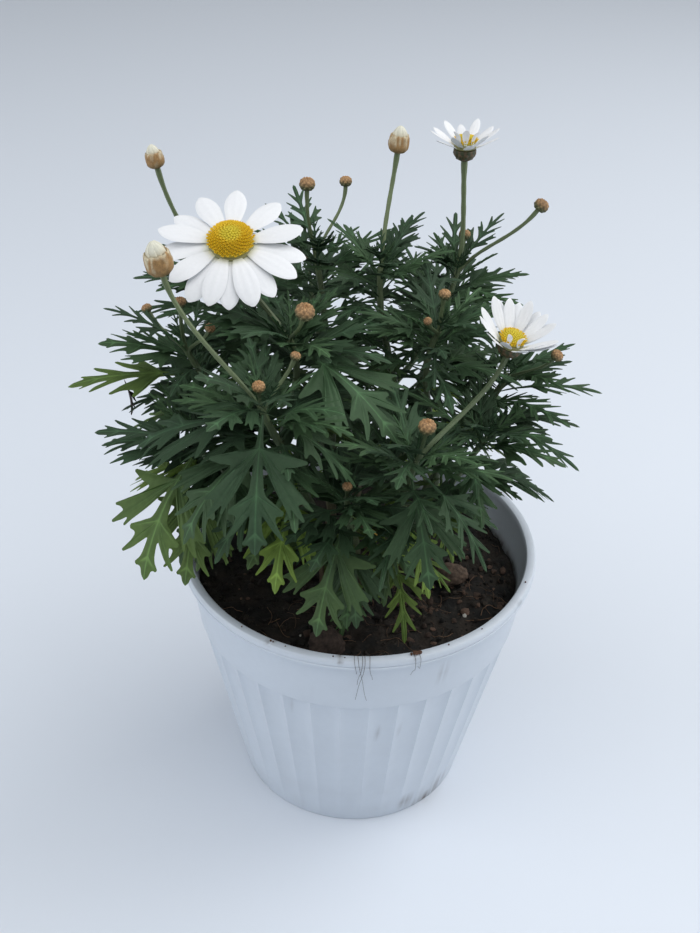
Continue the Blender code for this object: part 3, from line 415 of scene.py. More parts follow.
crumb_rng = np.random.default_rng(31)
crumb_turn = crumb_rng.uniform(0, 2 * math.pi, CRUMBS)
crumb_reach = CRUMB_CIRCLE * np.sqrt(crumb_rng.uniform(0, 1, CRUMBS))
crumb_size = 0.0004 + 0.0016 * crumb_rng.uniform(0, 1, CRUMBS) ** 3
crumb_points, crumb_faces, _ = laid_lumps(crumb_turn, crumb_reach, crumb_size, 0.35, crumb_rng)
crumb_shade = np.repeat(0.6 + 1.3 * crumb_rng.uniform(0, 1, CRUMBS), LUMP_CORNERS)[:, None]
crumb_white = np.repeat(crumb_rng.uniform(0, 1, CRUMBS) < PUMICE_SHARE, LUMP_CORNERS)[:, None]
crumb_colour = np.where(crumb_white, PUMICE_WHITE, crumb_shade * soil_tint(crumb_points, 24))
crumb_piece = shape_object("soil_crumbs", crumb_points, crumb_faces, peat, 50, crumb_colour)
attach(crumb_piece, "root")

# Lumps of soil: two rounded clods of clay and root that lie loose on the surface. Each is caked together
# and flat underneath, where it lies.
CLODS = {"soil_clod_right": (0.105, 0.072, 0.052), "soil_clod_front": (0.046, 0.031, 0.024)}
CLOD_ROWS = 40
CLOD_COLUMNS = 64
CLOD_FLAT = -0.65
# Bumps of three sizes: how high and how wide, in shares of the ball's radius
CLOD_BUMPS = [(0.13, 0.9), (0.10, 0.38), (0.07, 0.16)]


def clod_surface(box_low, box_high, seed):
    """A ball pushed in and out by noise of three sizes, fitted to its solid's box and flat underneath."""
    tilt = np.linspace(-math.pi / 2, math.pi / 2, CLOD_ROWS)
    ball = turned(np.zeros(3), LEVEL_WAYS, np.cos(tilt), np.sin(tilt), CLOD_COLUMNS)
    reach = 1 + sum(high * lattice_noise(ball + seed, wide, seed) for high, wide in CLOD_BUMPS)
    ball = ball * reach[:, None]
    ball[:, 2] = np.maximum(ball[:, 2], CLOD_FLAT)
    low, high = ball.min(axis=0), ball.max(axis=0)
    points = box_low + (ball - low) / (high - low) * (box_high - box_low)
    return weld(points, grid_triangles(CLOD_ROWS, CLOD_COLUMNS, True))[:2]


clod_finish = grained_finish("soil_clods", 0.9, 700, 0.25, 0.6, 0.0005)
for clod_seed, (clod_name, colour) in enumerate(CLODS.items()):
    clod_low, clod_high = (np.array(corner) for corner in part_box(clod_name))
    clod_points, clod_faces = clod_surface(clod_low, clod_high, clod_seed + 41)
    clod_shade = 0.45 * lattice_noise(clod_points, 0.0018, 43) + 0.35 * lattice_noise(clod_points, 0.0006, 44)
    clod_piece = shape_object(clod_name + "_lump", clod_points, clod_faces, clod_finish, 60,
                              np.array(colour) * (1 + clod_shade)[:, None])
    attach(clod_piece, "root")
    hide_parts(clod_name)

# Stems: eight slender stems rooted in the soil, with later shoots forking from the first. They are brown
# and corky at the foot and green and finely ribbed above, and thin stalks rise from them to the flowers.
Shoot = namedtuple("Shoot", "stem tip leaves first_bearing size fineness")
Head = namedtuple("Head", "kind shoot place axis width")
Scales = namedtuple("Scales", "ranks around columns rows spread")
UPWARD = np.array([0.0, 0.0, 1.0])
STEM_DEPTH = 0.014
STEM_FOOT = SOIL_LEVEL + 0.002
STEM_PULL = 0.045
STEM_TIP_PULL = 0.040
FORK_PULL = 0.025
FORK_TIP_PULL = 0.032
FORK = 0.40
STEM_RADIUS = 0.0026
SHOOT_RADIUS = 0.0019
TIP_RADIUS = 0.0012
STALK_RADIUS = 0.0009
STALK_SIZES = {"bloom": 1.14, "white_bud": 0.98, "bud": 0.82}
BARK = (0.085, 0.062, 0.038)
STALK_GREEN = np.array((0.078, 0.112, 0.052))
STALK_TOP_GREEN = np.array((0.125, 0.165, 0.075))
# Where the bark turns green and the green turns paler: height, and over how much height
GREENING = ((0.118, 0.045), (0.225, 0.05))
BRACT_GREEN = np.array((0.040, 0.052, 0.020))
BRACT_MARGIN = np.array((0.150, 0.085, 0.045))
STALK_START = 0.95
HOLES = {"leafy_stem_front_left": (-0.015, -0.013), "leafy_stem_front": (-0.001, -0.021),
         "leafy_stem_front_right": (0.014, -0.014), "leafy_stem_left": (-0.021, 0.002),
         "leafy_stem_right": (0.021, 0.002), "leafy_stem_back_left": (-0.013, 0.016),
         "leafy_stem_back_right": (0.012, 0.015), "leafy_stem_back": (0.000, 0.028)}
SHOOTS = {
    "front_left": Shoot("leafy_stem_front_left", (-0.039, -0.062, 0.238), 3, 20, 0.048, 0),
    "low_left": Shoot("leafy_stem_front_left", (-0.069, -0.037, 0.206), 3, 160, 0.050, 0),
    "front": Shoot("leafy_stem_front", (-0.006, -0.062, 0.197), 3, 200, 0.038, 0),
    "front_right": Shoot("leafy_stem_front_right", (0.020, -0.058, 0.213), 3, 30, 0.048, 1),
    "low_right": Shoot("leafy_stem_front_right", (0.050, -0.022, 0.200), 3, 20, 0.044, 2),
    "left": Shoot("leafy_stem_left", (-0.074, -0.008, 0.231), 4, 100, 0.046, 0),
    "middle": Shoot("leafy_stem_left", (-0.030, -0.026, 0.245), 3, 330, 0.047, 0),
    "right": Shoot("leafy_stem_right", (0.060, 0.006, 0.214), 4, 80, 0.048, 2),
    "middle_right": Shoot("leafy_stem_right", (0.029, -0.002, 0.238), 4, 250, 0.044, 1),
    "back_left": Shoot("leafy_stem_back_left", (-0.023, 0.040, 0.252), 4, 60, 0.046, 2),
    "far_left": Shoot("leafy_stem_back_left", (-0.066, 0.034, 0.240), 5, 140, 0.046, 1),
    "back_right": Shoot("leafy_stem_back_right", (0.039, 0.047, 0.242), 4, 10, 0.046, 2),
    "top": Shoot("leafy_stem_back_right", (0.005, 0.024, 0.254), 4, 200, 0.042, 2),
    "back": Shoot("leafy_stem_back", (-0.026, 0.078, 0.214), 4, 90, 0.048, 1),
    "far_back": Shoot("leafy_stem_back", (0.034, 0.080, 0.204), 4, 40, 0.048, 2),
}
HEADS = {
    "bloom_front": Head("bloom", "middle", (-0.0530, -0.0110, 0.2735), (0.00, -0.39, 0.92), 0.0174),
    "bloom_right": Head("bloom", "front_right", (0.0552, -0.0200, 0.2390), (0.16, -0.16, 0.97), 0.0100),
    "bloom_back": Head("bloom", "back_right", (0.0385, 0.0560, 0.2880), (-0.03, 0.05, 1.00), 0.0095),
    "white_bud_front": Head("white_bud", "front_left", (-0.0757, -0.038, 0.2775), (-0.2, -0.1, 1.0), 0.0106),
    "white_bud_left": Head("white_bud", "far_left", (-0.0880, 0.040, 0.286), (-0.22, 0.05, 0.97), 0.0076),
    "white_bud_top": Head("white_bud", "top", (0.0100, 0.0460, 0.2935), (0.10, 0.05, 0.99), 0.0086),
    "closed_bud_back_left": Head("bud", "back_left", (-0.0265, 0.0360, 0.2805), (0.03, 0.0, 1.0), 0.0066),
    "closed_bud_back_middle": Head("bud", "back_left", (-0.0110, 0.0600, 0.2725), (0.0, 0.1, 1.0), 0.0054),
    "closed_bud_far_right": Head("bud", "back_right", (0.0700, 0.0450, 0.2710), (0.5, 0.0, 0.8), 0.0064),
    "closed_bud_middle": Head("bud", "middle", (-0.0240, -0.0450, 0.2655), (0.2, -0.2, 0.9), 0.0074),
    "closed_bud_front_right": Head("bud", "front_right", (0.0225, -0.063, 0.229), (0.1, -0.1, 1.0), 0.0068),
    "closed_bud_centre": Head("bud", "middle_right", (0.0300, -0.0010, 0.2520), (0.1, 0.0, 1.0), 0.0050),
    "closed_bud_centre_low": Head("bud", "middle_right", (0.0240, -0.011, 0.246), (-0.3, -0.4, 0.9), 0.0036),
    "closed_bud_right": Head("bud", "right", (0.0770, 0.0000, 0.2255), (0.5, -0.1, 0.8), 0.0054),
    "closed_bud_low_middle": Head("bud", "front_left", (-0.0270, -0.051, 0.251), (0.3, 0.1, 0.9), 0.0040),
    "closed_bud_front_left": Head("bud", "front_left", (-0.0390, -0.065, 0.246), (0.0, -0.3, 1.0), 0.0050),
    "closed_bud_left": Head("bud", "left", (-0.0620, -0.0190, 0.2440), (0.3, -0.3, 0.9), 0.0042),
    "closed_bud_left_high": Head("bud", "left", (-0.0740, -0.0110, 0.2500), (0.0, 0.0, 1.0), 0.0050),
    "closed_bud_far_left": Head("bud", "left", (-0.0890, 0.0030, 0.2395), (-0.5, 0.2, 0.9), 0.0044),
    "closed_bud_back_right": Head("bud", "back_right", (0.0410, 0.0550, 0.2520), (0.1, 0.3, 1.0), 0.0052),
    "closed_bud_front": Head("bud", "front", (-0.0060, -0.0650, 0.2030), (0.0, -0.2, 1.0), 0.0040),
    "closed_bud_back": Head("bud", "back", (-0.0270, 0.0850, 0.2230), (0.0, 0.3, 1.0), 0.0052),
}
# The cup of bracts under a bloom: radius in shares of the disc's width, and height in metres
BRACT_OUTLINE = [(0.0, -0.0014), (0.08, -0.0013), (0.12, -0.0008), (0.24, -0.0001), (0.36, 0.0007),
                 (0.44, 0.0017), (0.475, 0.0028), (0.48, 0.0037), (0.46, 0.0042), (0.36, 0.0041),
                 (0.0, 0.0040)]
BRACT_THICKNESS = 0.0005
BRACTS = Scales(4, 11, 66, 40, 0.30)
# Where the lowest rank of scales starts and over how much of the knob the ranks start, in shares of its
# outline's length, and half a scale's width, in shares of its place in the rank
SCALES_FROM = 0.06
SCALES_OVER = 0.80
SCALE_HALF = 0.56


def bezier(start, start_pull, end_pull, end, count):
    """Points along a cubic curve that leaves and reaches its ends in the direction of the pulls."""
    t = np.linspace(0, 1, count)[:, None]
    a, b, c, d = (np.asarray(p, dtype=float) for p in (start, start_pull, end_pull, end))
    return (1 - t) ** 3 * a + 3 * t * (1 - t) ** 2 * b + 3 * t ** 2 * (1 - t) * c + t ** 3 * d


def lengths_along(path):
    """How far along the path each of its points lies."""
    return np.concatenate([[0], np.cumsum(np.linalg.norm(np.diff(path, axis=0), axis=1))])


def point_along(path, share):
    """The point and direction at a share of a path's length."""
    reach = lengths_along(path)
    goal = share * reach[-1]
    point = np.array([np.interp(goal, reach, path[:, k]) for k in range(3)])
    i = min(int(np.searchsorted(reach, goal, side="right")) - 1, len(path) - 2)
    return point, unit(path[i + 1] - path[i])


def shoot_paths(leader_count, fork_count, coarse=None):
    """The centre line of each shoot, from its hole or its fork to its tip."""
    paths = {}
    leaders = {}
    for name, shoot in SHOOTS.items():
        tip = np.array(shoot.tip)
        outward = unit((tip[0], tip[1], 0.0))
        if shoot.stem not in leaders:
            start = np.array([*HOLES[shoot.stem], STEM_FOOT])
            end_pull = tip - STEM_TIP_PULL * unit(0.45 * outward + UPWARD)
            curve = bezier(start, start + STEM_PULL * UPWARD, end_pull, tip, leader_count)
            paths[name] = np.concatenate([[start - STEM_DEPTH * UPWARD], curve])
            leaders[shoot.stem] = name
        else:
            start, heading = point_along((coarse or paths)[leaders[shoot.stem]], FORK)
            pull = start + FORK_PULL * unit(heading + 0.8 * outward)
            end_pull = tip - FORK_TIP_PULL * unit(0.5 * outward + UPWARD)
            paths[name] = bezier(start, pull, end_pull, tip, fork_count)
    return paths


def stalk_path(head, count):
    """The centre line of a flower stalk, from near its shoot's tip to the underside of its head."""
    start, heading = point_along(paths[head.shoot], STALK_START)
    end = np.array(head.place)
    reach = np.linalg.norm(end - start)
    return bezier(start, start + 0.35 * reach * heading, end - 0.4 * reach * unit(head.axis), end, count)


def rod(path, radii, sides, ribs=0, rib_depth=0.0):
    """A closed round rod: rings square to the path's direction, their radius waved by the ribs."""
    ahead = np.gradient(path, axis=0)
    ahead /= np.linalg.norm(ahead, axis=1)[:, None]
    helper = np.cross(path[-1] - path[0], UPWARD)
    helper = unit(helper) if np.linalg.norm(helper) > 1e-6 else np.array([1.0, 0.0, 0.0])
    right = helper - (ahead @ helper)[:, None] * ahead
    right /= np.linalg.norm(right, axis=1)[:, None]
    back = np.cross(ahead, right)
    turn = np.arange(sides) * 2 * math.pi / sides
    wave = 1 + rib_depth * np.cos(ribs * turn)
    reach = np.concatenate([[0], radii, [0]])[:, None] * wave
    ends = np.concatenate([[0], np.arange(len(path)), [len(path) - 1]])
    points = (path[ends][:, None] + (reach * np.cos(turn))[:, :, None] * right[ends][:, None]
              + (reach * np.sin(turn))[:, :, None] * back[ends][:, None]).reshape(-1, 3)
    return weld(points, grid_triangles(len(ends), sides, True))[:2]


def ways_round(direction):
    """Two directions square to the given one and to each other, and the given one at length one."""
    ahead = unit(direction)
    helper = UPWARD if abs(ahead[2]) < 0.9 else np.array([0.0, -1.0, 0.0])
    right = unit(np.cross(helper, ahead))
    return right, np.cross(ahead, right), ahead


def resampled(outline, share):
    """The radius and height of an outline at shares of its length."""
    reach = lengths_along(outline)
    return [np.interp(share, reach / reach[-1], values) for values in outline.T]


def scaly_knob(place, axis, outline, thickness, scales):
    """A knob turned round an axis, with ranks of overlapping scales. Gives each point's edge and height.

    A scale covers |u| < SCALE_HALF sqrt(1 - w w), where u is its share round the knob and w its share up its
    own height. It is lifted by thickness * (0.25 + 0.75 w), less to its sides, and the highest scale shows.
    """
    share = np.linspace(0, 1, scales.rows)
    radius, height = resampled(outline, share)
    slope = np.column_stack([np.gradient(height), -np.gradient(radius)])
    slope /= np.linalg.norm(slope, axis=1)[:, None]
    turn = np.arange(scales.columns) * 2 * math.pi / scales.columns
    lift = np.zeros((scales.rows, scales.columns))
    edge = np.zeros(lift.shape)
    for rank in range(scales.ranks):
        low = SCALES_FROM + SCALES_OVER * rank / scales.ranks
        w = ((share - low) / scales.spread)[:, None]
        u = (turn / (2 * math.pi) * scales.around + 0.5 * (rank % 2) + 0.13 * rank) % 1.0 - 0.5
        half = SCALE_HALF * np.sqrt(np.clip(1 - w ** 2, 0, 1))
        aside = np.abs(u)[None, :] / np.maximum(half, 1e-6)
        covered = (w >= 0) & (w < 1) & (aside < 1)
        raised = np.where(covered, thickness * (0.25 + 0.75 * w) * (1 - 0.45 * aside ** 2), 0)
        shows = raised > lift
        lift = np.where(shows, raised, lift)
        edge = np.where(shows, np.maximum(aside ** 3, np.clip((w - 0.55) / 0.45, 0, 1)), edge)
    lift *= np.clip(np.minimum(share, 1 - share) * 12, 0, 1)[:, None]
    across = radius[:, None] + lift * slope[:, :1]
    along = height[:, None] + lift * slope[:, 1:]
    across[0] = across[-1] = 0
    points, triangles, kept = turned_surface(place, ways_round(axis), across, along, scales.columns)
    return points, triangles, edge.ravel()[kept], np.repeat(share, scales.columns)[kept]


def stem_colour(points, seed):
    """Bark brown at the foot, grey green above, paler on the thin stalks' upper parts."""
    young, high = (np.clip((points[:, 2] - start) / climb, 0, 1)[:, None] for start, climb in GREENING)
    green = mottled(blend(STALK_GREEN, STALK_TOP_GREEN, high), points, 0.12, 0.004, seed + 1)
    return blend(mottled(BARK, points, 0.4, 0.0012, seed), green, young)


paths = shoot_paths(7, 6)
fine_paths = shoot_paths(42, 36, paths)
stem_finish = grained_finish("stem_skin", 0.55, 1400, 0.12, 0.35, 0.0003)
for stem_number, stem in enumerate(HOLES):
    parts = []
    for name, shoot in SHOOTS.items():
        if shoot.stem == stem:
            path = fine_paths[name]
            thick = STEM_RADIUS if path[0][2] < SOIL_LEVEL else SHOOT_RADIUS
            share = np.linspace(0, 1, len(path))
            knots = 1 + 0.10 * np.cos(share * 60) * (share < 0.9)
            radii = (thick + (TIP_RADIUS - thick) * share) * knots
            points, triangles = rod(path, radii, sides=14, ribs=7, rib_depth=0.05)
            parts.append((points, triangles, stem_colour(points, 50 + stem_number)))
    for name, head in HEADS.items():
        if SHOOTS[head.shoot].stem == stem:
            path = stalk_path(head, 26)
            share = np.linspace(0, 1, len(path))
            thick = STALK_RADIUS * STALK_SIZES[head.kind]
            radii = thick * (0.97 + 0.06 * np.cos(share * 40)) * (1 + 0.35 * np.clip(share * 6 - 5, 0, 1))
            points, triangles = rod(path, radii, sides=12, ribs=6, rib_depth=0.07)
            parts.append((points, triangles, stem_colour(points, 50 + stem_number)))
            if head.kind == "bloom":
                bracts = np.array(BRACT_OUTLINE) * (head.width, 1)
                points, triangles, edge, _ = scaly_knob(head.place, head.axis, bracts, BRACT_THICKNESS,
                                                        BRACTS)
                parts.append((points, triangles, blend(BRACT_GREEN, BRACT_MARGIN, edge[:, None])))
    stem_points, stem_triangles, stem_tint = joined(parts)
    stem_piece = shape_object(stem + "_wood", stem_points, stem_triangles, stem_finish, 50, stem_tint)
    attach(stem_piece, "root")
    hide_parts(stem)

# Leaves: thin, matt, blue green blades cut into pointed lobes, each grown from its stem by a narrow foot.
# The left and front ones are broad, those at the back and right are cut into fine fingers.
Leaf = namedtuple("Leaf", "shoot place bearing rise droop length kind twist")
LEAF_THICKNESS = 0.00042
LEAF_FOLD = 0.16
LEAF_SAG = 0.5
LEAVES_START = 0.66
LEAVES_SPREAD = 0.33
GOLDEN_ANGLE = 137.508
SOLID_TRIES = ((1.0, 0.85, 0.7), (0, 10, -10, 20), (0, 9, -9, 18, -18, 28, -28, 40, -40))
PLACED_LEAVES = [
    Leaf("front_left", 0.97, -92, -22, 62, 0.056, "broad", 0),
    Leaf("front_left", 0.92, 186, -2, 42, 0.060, "broad", 8),
    Leaf("front_left", 0.86, 216, -12, 52, 0.056, "broad", 10),
    Leaf("front_left", 0.93, -48, -2, 52, 0.043, "middle", -8),
    Leaf("low_left", 0.90, 238, -22, 44, 0.058, "broad", 6),
    Leaf("low_left", 0.80, -104, -34, 46, 0.054, "broad", 0),
    Leaf("low_left", 0.70, 190, -8, 36, 0.052, "broad", 6),
    Leaf("middle", 0.96, -36, -2, 44, 0.058, "broad", -6),
    Leaf("front", 0.86, -112, -36, 42, 0.052, "broad", 0),
    Leaf("front", 0.74, -84, -34, 46, 0.044, "broad", 0),
    Leaf("front", 0.34, -98, -10, 52, 0.036, "middle", 0),
    Leaf("front_right", 0.90, -76, -32, 40, 0.046, "broad", 0),
    Leaf("front_right", 0.95, -42, -12, 44, 0.050, "fine", -6),
    Leaf("front_right", 0.66, -58, -36, 38, 0.042, "middle", 0),
    Leaf("front_right", 0.30, -80, 10, 78, 0.046, "fine", 0),
    Leaf("right", 0.92, 2, 18, 34, 0.046, "fine", 0),
    Leaf("right", 0.80, -24, 6, 44, 0.050, "fine", 0),
    Leaf("left", 0.88, 184, 8, 30, 0.048, "middle", 0),
    Leaf("left", 0.74, 168, 0, 40, 0.050, "broad", 0),
]
# The solid's own lobe tips, by which each leaf's place is known again, and the half thickness there
SOLID_TIPS = {"broad": [(0.345, 0.63), (0.195, 0.88), (0.0, 1.0)],
              "middle": [(0.250, 0.50), (0.215, 0.68), (0.0, 1.0)],
              "fine": [(0.215, 0.56), (0.170, 0.76), (0.0, 1.0)]}
SOLID_LIFT = 0.00033
SAME_PLACE = 0.00005
# One side of each kind's rim: across, along and where its vein leaves the rib, in shares of the length
RIMS = {
    "broad": [(0.011, 0.0, 0.0), (0.014, 0.10, 0.10), (0.021, 0.22, 0.22), (0.032, 0.280, 0.27),
              (0.10, 0.306, 0.27), (0.21, 0.330, 0.27), (0.335, 0.352, 0.27), (0.26, 0.388, 0.27),
              (0.172, 0.395, 0.27), (0.185, 0.435, 0.27), (0.245, 0.515, 0.27),
              (0.350, 0.63, 0.27), (0.30, 0.622, 0.27), (0.272, 0.632, 0.27), (0.325, 0.75, 0.27),
              (0.262, 0.700, 0.27), (0.222, 0.650, 0.27), (0.232, 0.730, 0.27), (0.178, 0.640, 0.27),
              (0.112, 0.53, 0.27), (0.066, 0.435, 0.27), (0.031, 0.37, 0.27), (0.036, 0.45, 0.42),
              (0.046, 0.54, 0.53), (0.058, 0.582, 0.57), (0.105, 0.620, 0.58), (0.190, 0.70, 0.58),
              (0.126, 0.718, 0.58), (0.138, 0.770, 0.58), (0.195, 0.88, 0.58), (0.128, 0.830, 0.58),
              (0.080, 0.765, 0.58), (0.038, 0.705, 0.60), (0.041, 0.77, 0.755), (0.050, 0.84, 0.82),
              (0.084, 0.910, 0.84), (0.042, 0.915, 0.87), (0.027, 0.970, 0.93), (0.0, 1.0, 1.0)],
    "middle": [(0.012, 0.0, 0.0), (0.016, 0.12, 0.12), (0.024, 0.25, 0.25), (0.034, 0.315, 0.31),
               (0.12, 0.385, 0.32), (0.250, 0.50, 0.32), (0.160, 0.49, 0.32), (0.165, 0.57, 0.32),
               (0.215, 0.68, 0.32), (0.12, 0.60, 0.32), (0.034, 0.45, 0.32), (0.036, 0.55, 0.54),
               (0.075, 0.64, 0.56), (0.155, 0.82, 0.56), (0.10, 0.79, 0.56), (0.034, 0.68, 0.56),
               (0.036, 0.76, 0.75), (0.075, 0.91, 0.77), (0.035, 0.87, 0.79), (0.025, 0.965, 0.93),
               (0.0, 1.0, 1.0)],
    "fine": [(0.012, 0.0, 0.0), (0.014, 0.15, 0.15), (0.020, 0.33, 0.33), (0.05, 0.355, 0.34),
             (0.11, 0.405, 0.34), (0.205, 0.435, 0.34), (0.13, 0.455, 0.34), (0.17, 0.51, 0.34),
             (0.235, 0.575, 0.34), (0.165, 0.555, 0.34), (0.175, 0.63, 0.34), (0.105, 0.51, 0.34),
             (0.024, 0.42, 0.34), (0.024, 0.50, 0.50), (0.07, 0.575, 0.52), (0.135, 0.655, 0.52),
             (0.105, 0.665, 0.52), (0.17, 0.765, 0.52), (0.075, 0.68, 0.52), (0.022, 0.60, 0.52),
             (0.022, 0.69, 0.68), (0.06, 0.775, 0.70), (0.107, 0.90, 0.70), (0.045, 0.83, 0.70),
             (0.022, 0.79, 0.72), (0.023, 0.88, 0.87), (0.019, 0.97, 0.95), (0.0, 1.0, 1.0)],
}
# Across each ray of a leaf: how far from rib to rim, and how thick there
SHEET_STEPS = ((0.0, 1.5), (0.45, 1.0), (1.0, 0.0))
# In shares of the length: how high a leaf swells, how far off a vein its line ends, and how far off it the
# swelling is full
LEAF_PUCKER = 0.011
VEIN_REACH = 0.035
SWELL_REACH = 0.09


def arched(root, forward, up, length, rise, droop, across, along, lift, fold=0.0, sag=0.0, twist=0.0):
    """Points of a blade that leaves its root at `rise` degrees and bends down by `droop` degrees.

    The rib is an arc of a circle. Across and along are shares of the length, and lift is metres off the
    middle surface. Fold raises both halves from the rib, and sag bends them down with the square.
    """
    start = math.radians(rise)
    bend = math.radians(droop if abs(droop) > 0.5 else 0.5)
    slope = start - bend * along
    level = length * (math.sin(start) - np.sin(slope)) / bend
    height = length * (np.cos(slope) - math.cos(start)) / bend
    side = np.cross(forward, up)
    normal = np.outer(-np.sin(slope), forward) + np.outer(np.cos(slope), up)
    turn = math.radians(twist) * along
    lateral = np.outer(np.cos(turn), side) + np.sin(turn)[:, None] * normal
    normal = np.cos(turn)[:, None] * normal - np.outer(np.sin(turn), side)
    offset = length * (fold * np.abs(across) - sag * across ** 2) + lift
    return (np.asarray(root) + np.outer(level, forward) + np.outer(height, up)
            + (across * length)[:, None] * lateral + offset[:, None] * normal)


def leaf_template(kind):
    """A leaf laid flat: rays from the rib to a rim with its corners rounded, above and below.

    A point is foot + t * (rim - foot) on its ray. The two faces are thickest at the rib and meet at the
    rim. Gives the points as across, along and lift in half thicknesses, the triangles, and for each point
    how near a vein and the rim it is, its face, and its share of the swelling between two veins.
    """
    corners = np.array(RIMS[kind])
    inner = corners[1:-1]
    before = corners[:-2] - inner
    after = corners[2:] - inner
    reach = np.hypot(corners[:, 0], corners[:, 1] - corners[:, 2])
    tips = (reach[1:-1] > reach[:-2]) & (reach[1:-1] > reach[2:]) & (reach[1:-1] > 0.06)
    edges = [np.linalg.norm(way[:, :2], axis=1)[:, None] for way in (before, after)]
    before, after = (way / edge * np.minimum(*edges) for way, edge in zip((before, after), edges))
    bend = np.where(tips, 0.24, 0.32)[:, None]
    full = np.where(tips, 0.12, 0.0)[:, None] * (before - after)
    rounded = np.stack([inner + bend * before + full, inner + 0.3 * bend * (before + after),
                        inner + bend * after - full], 1)
    rim = np.concatenate([corners[:1], rounded.reshape(-1, 3), corners[-1:]])
    rim[:, 2] = np.maximum.accumulate(rim[:, 2])
    tip_places = np.concatenate([inner[tips], corners[-1:]])[:, :2]
    off_vein = np.min(np.linalg.norm(rim[:, None, :2] - tip_places[None], axis=2), axis=1)[:, None]
    steps = np.array(SHEET_STEPS)
    t = steps[None, :, 0]
    across = t * rim[:, :1]
    along = rim[:, 2:] + t * (rim[:, 1:2] - rim[:, 2:])
    ends = np.clip(along / 0.04, 0, 1) * np.clip((1 - along) / 0.03, 0, 1)
    lift = steps[None, :, 1] * ends
    at_rib = np.where(t == 0, 1.0, 0.0)
    vein = np.maximum(at_rib, np.clip(1 - off_vein / VEIN_REACH, 0, 1) * np.where(t < 1, 1.0, 0.3))
    swell = np.clip(off_vein / SWELL_REACH, 0, 1) * 4 * t * (1 - t)
    faces = grid_triangles(len(rim), len(steps), False)
    flat = []
    for side, face in product((1, -1), (1, -1)):
        triangles = faces if side * face > 0 else faces[:, ::-1]
        points = np.stack([side * across, along, face * lift], -1).reshape(-1, 3)
        flat.append((points, triangles, vein.ravel(), np.broadcast_to(t, across.shape).ravel(),
                     np.full(across.size, float(face)), swell.ravel()))
    points, triangles, *values = joined(flat)
    points, triangles, kept = weld(points, triangles)
    return points, triangles, *(value[kept] for value in values)


def leaf_points(leaf, across, along, lift):
    """Where the points of a flat leaf go once it is bent and joined to its shoot."""
    root, _ = point_along(paths[leaf.shoot], leaf.place)
    turn = math.radians(leaf.bearing)
    forward = np.array([math.cos(turn), math.sin(turn), 0.0])
    return arched(root, forward, UPWARD, leaf.length, leaf.rise, leaf.droop, across, along, lift,
                  fold=LEAF_FOLD, sag=LEAF_SAG, twist=leaf.twist)


def ruled_leaves(name, shoot):
    """Leaves up a shoot, each turned by the golden angle from the last, shorter and steeper to the tip."""
    outward = math.degrees(math.atan2(shoot.tip[1], shoot.tip[0]))
    leaves = []
    for i in range(shoot.leaves):
        share = i / max(shoot.leaves - 1, 1)
        bearing = shoot.first_bearing + GOLDEN_ANGLE * i
        facing = math.cos(math.radians(bearing - outward))
        length = shoot.size * (1.08 - 0.30 * share) * (0.90 + 0.14 * facing)
        rise = 8 + 42 * share - 8 * facing
        droop = 52 - 22 * share
        kind = "fine" if share > 0.60 else "broad" if share < 0.2 and facing > 0 else "middle"
        place = LEAVES_START + LEAVES_SPREAD * share
        leaves.append(Leaf(name, place, bearing, rise, droop, length, kind, 6 * math.sin(2.4 * i)))
    return leaves


def tries(leaf, sizes, lifts, swings):
    """The leaf as it is, then swung, lifted and made smaller, in the order in which room is looked for."""
    for size, lift, swing in product(sizes, lifts, swings):
        yield leaf._replace(bearing=leaf.bearing + swing, rise=leaf.rise + lift, length=leaf.length * size)


def solid_leaves():
    """The leaves of the solid stems, each found by the corners that it left in its stem's mesh."""
    wanted = PLACED_LEAVES + [leaf for name, shoot in SHOOTS.items() for leaf in ruled_leaves(name, shoot)]
    corners = {}
    for stem in HOLES:
        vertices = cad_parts[stem].data.vertices
        corners[stem] = KDTree(len(vertices))
        for vertex in vertices:
            corners[stem].insert(vertex.co, vertex.index)
        corners[stem].balance()
    found = []
    for number, leaf in enumerate(wanted):
        across, along = np.array(SOLID_TIPS[leaf.kind]).T
        for tried in tries(leaf, *SOLID_TRIES):
            tips = leaf_points(tried, across, along, np.full(len(across), SOLID_LIFT))
            if all(corners[SHOOTS[leaf.shoot].stem].find(tip)[2] < SAME_PLACE for tip in tips):
                found.append((number, tried))
                break
    return found


# Leaves that the solids leave out, up each shoot: a full rosette, young ones round the tip, some between
# them, and low ones. Place, rise, droop and size are the lowest leaf's and the change up to the highest.
# Swing turns the ring. Where outer is 1, leaves on the plant's outside are larger and lower. Order picks
# from the shoot's kinds, and twist is its most, its step and 1 where the shoot's number counts.
Ring = namedtuple("Ring", "count place swing rise droop size outer order twist")
RINGS = [Ring(10, (0.62, 0.35), 68, (0, 46), (50, -12), (1.06, -0.22), 1, (0, 1, 2), (9, 1.7, 1)),
         Ring(10, (0.90, 0.098), 20, (26, 46), (42, -44), (0.86, -0.58), 0, (1,) * 5 + (3,) * 5,
              (14, 2.9, 1)),
         Ring(7, (0.78, 0.19), 111, (34, 24), (56, -20), (0.98, -0.16), 0, (2, 1, 0), (12, 1.3, 1)),
         Ring(5, (0.36, 0.28), 150, (-2, -12), (44, 0), (0.72, 0.20), 0, (0, 1, 2), (8, 1.0, 0))]
# The kinds of leaf on a shoot, by its fineness
SHOOT_KINDS = (("broad", "middle", "broad", "fine"), ("middle", "fine", "middle", "fine"),
               ("fine", "middle", "fine", "fine"))
BRIGHT_LEAF = Leaf("front_left", 0.62, -90, -14, 40, 0.050, "broad", 0)
FIT_TRIES = ((1.0, 0.8, 0.62), (0, 14, -12), (0, 13, -13, 27, -27))
# Half the room that a leaf needs, and the stretch by its foot that may touch its own stem
FIT_LIFT = 0.0004
FIT_FOOT = 0.0060
FIT_FOOT_SHARE = 0.32
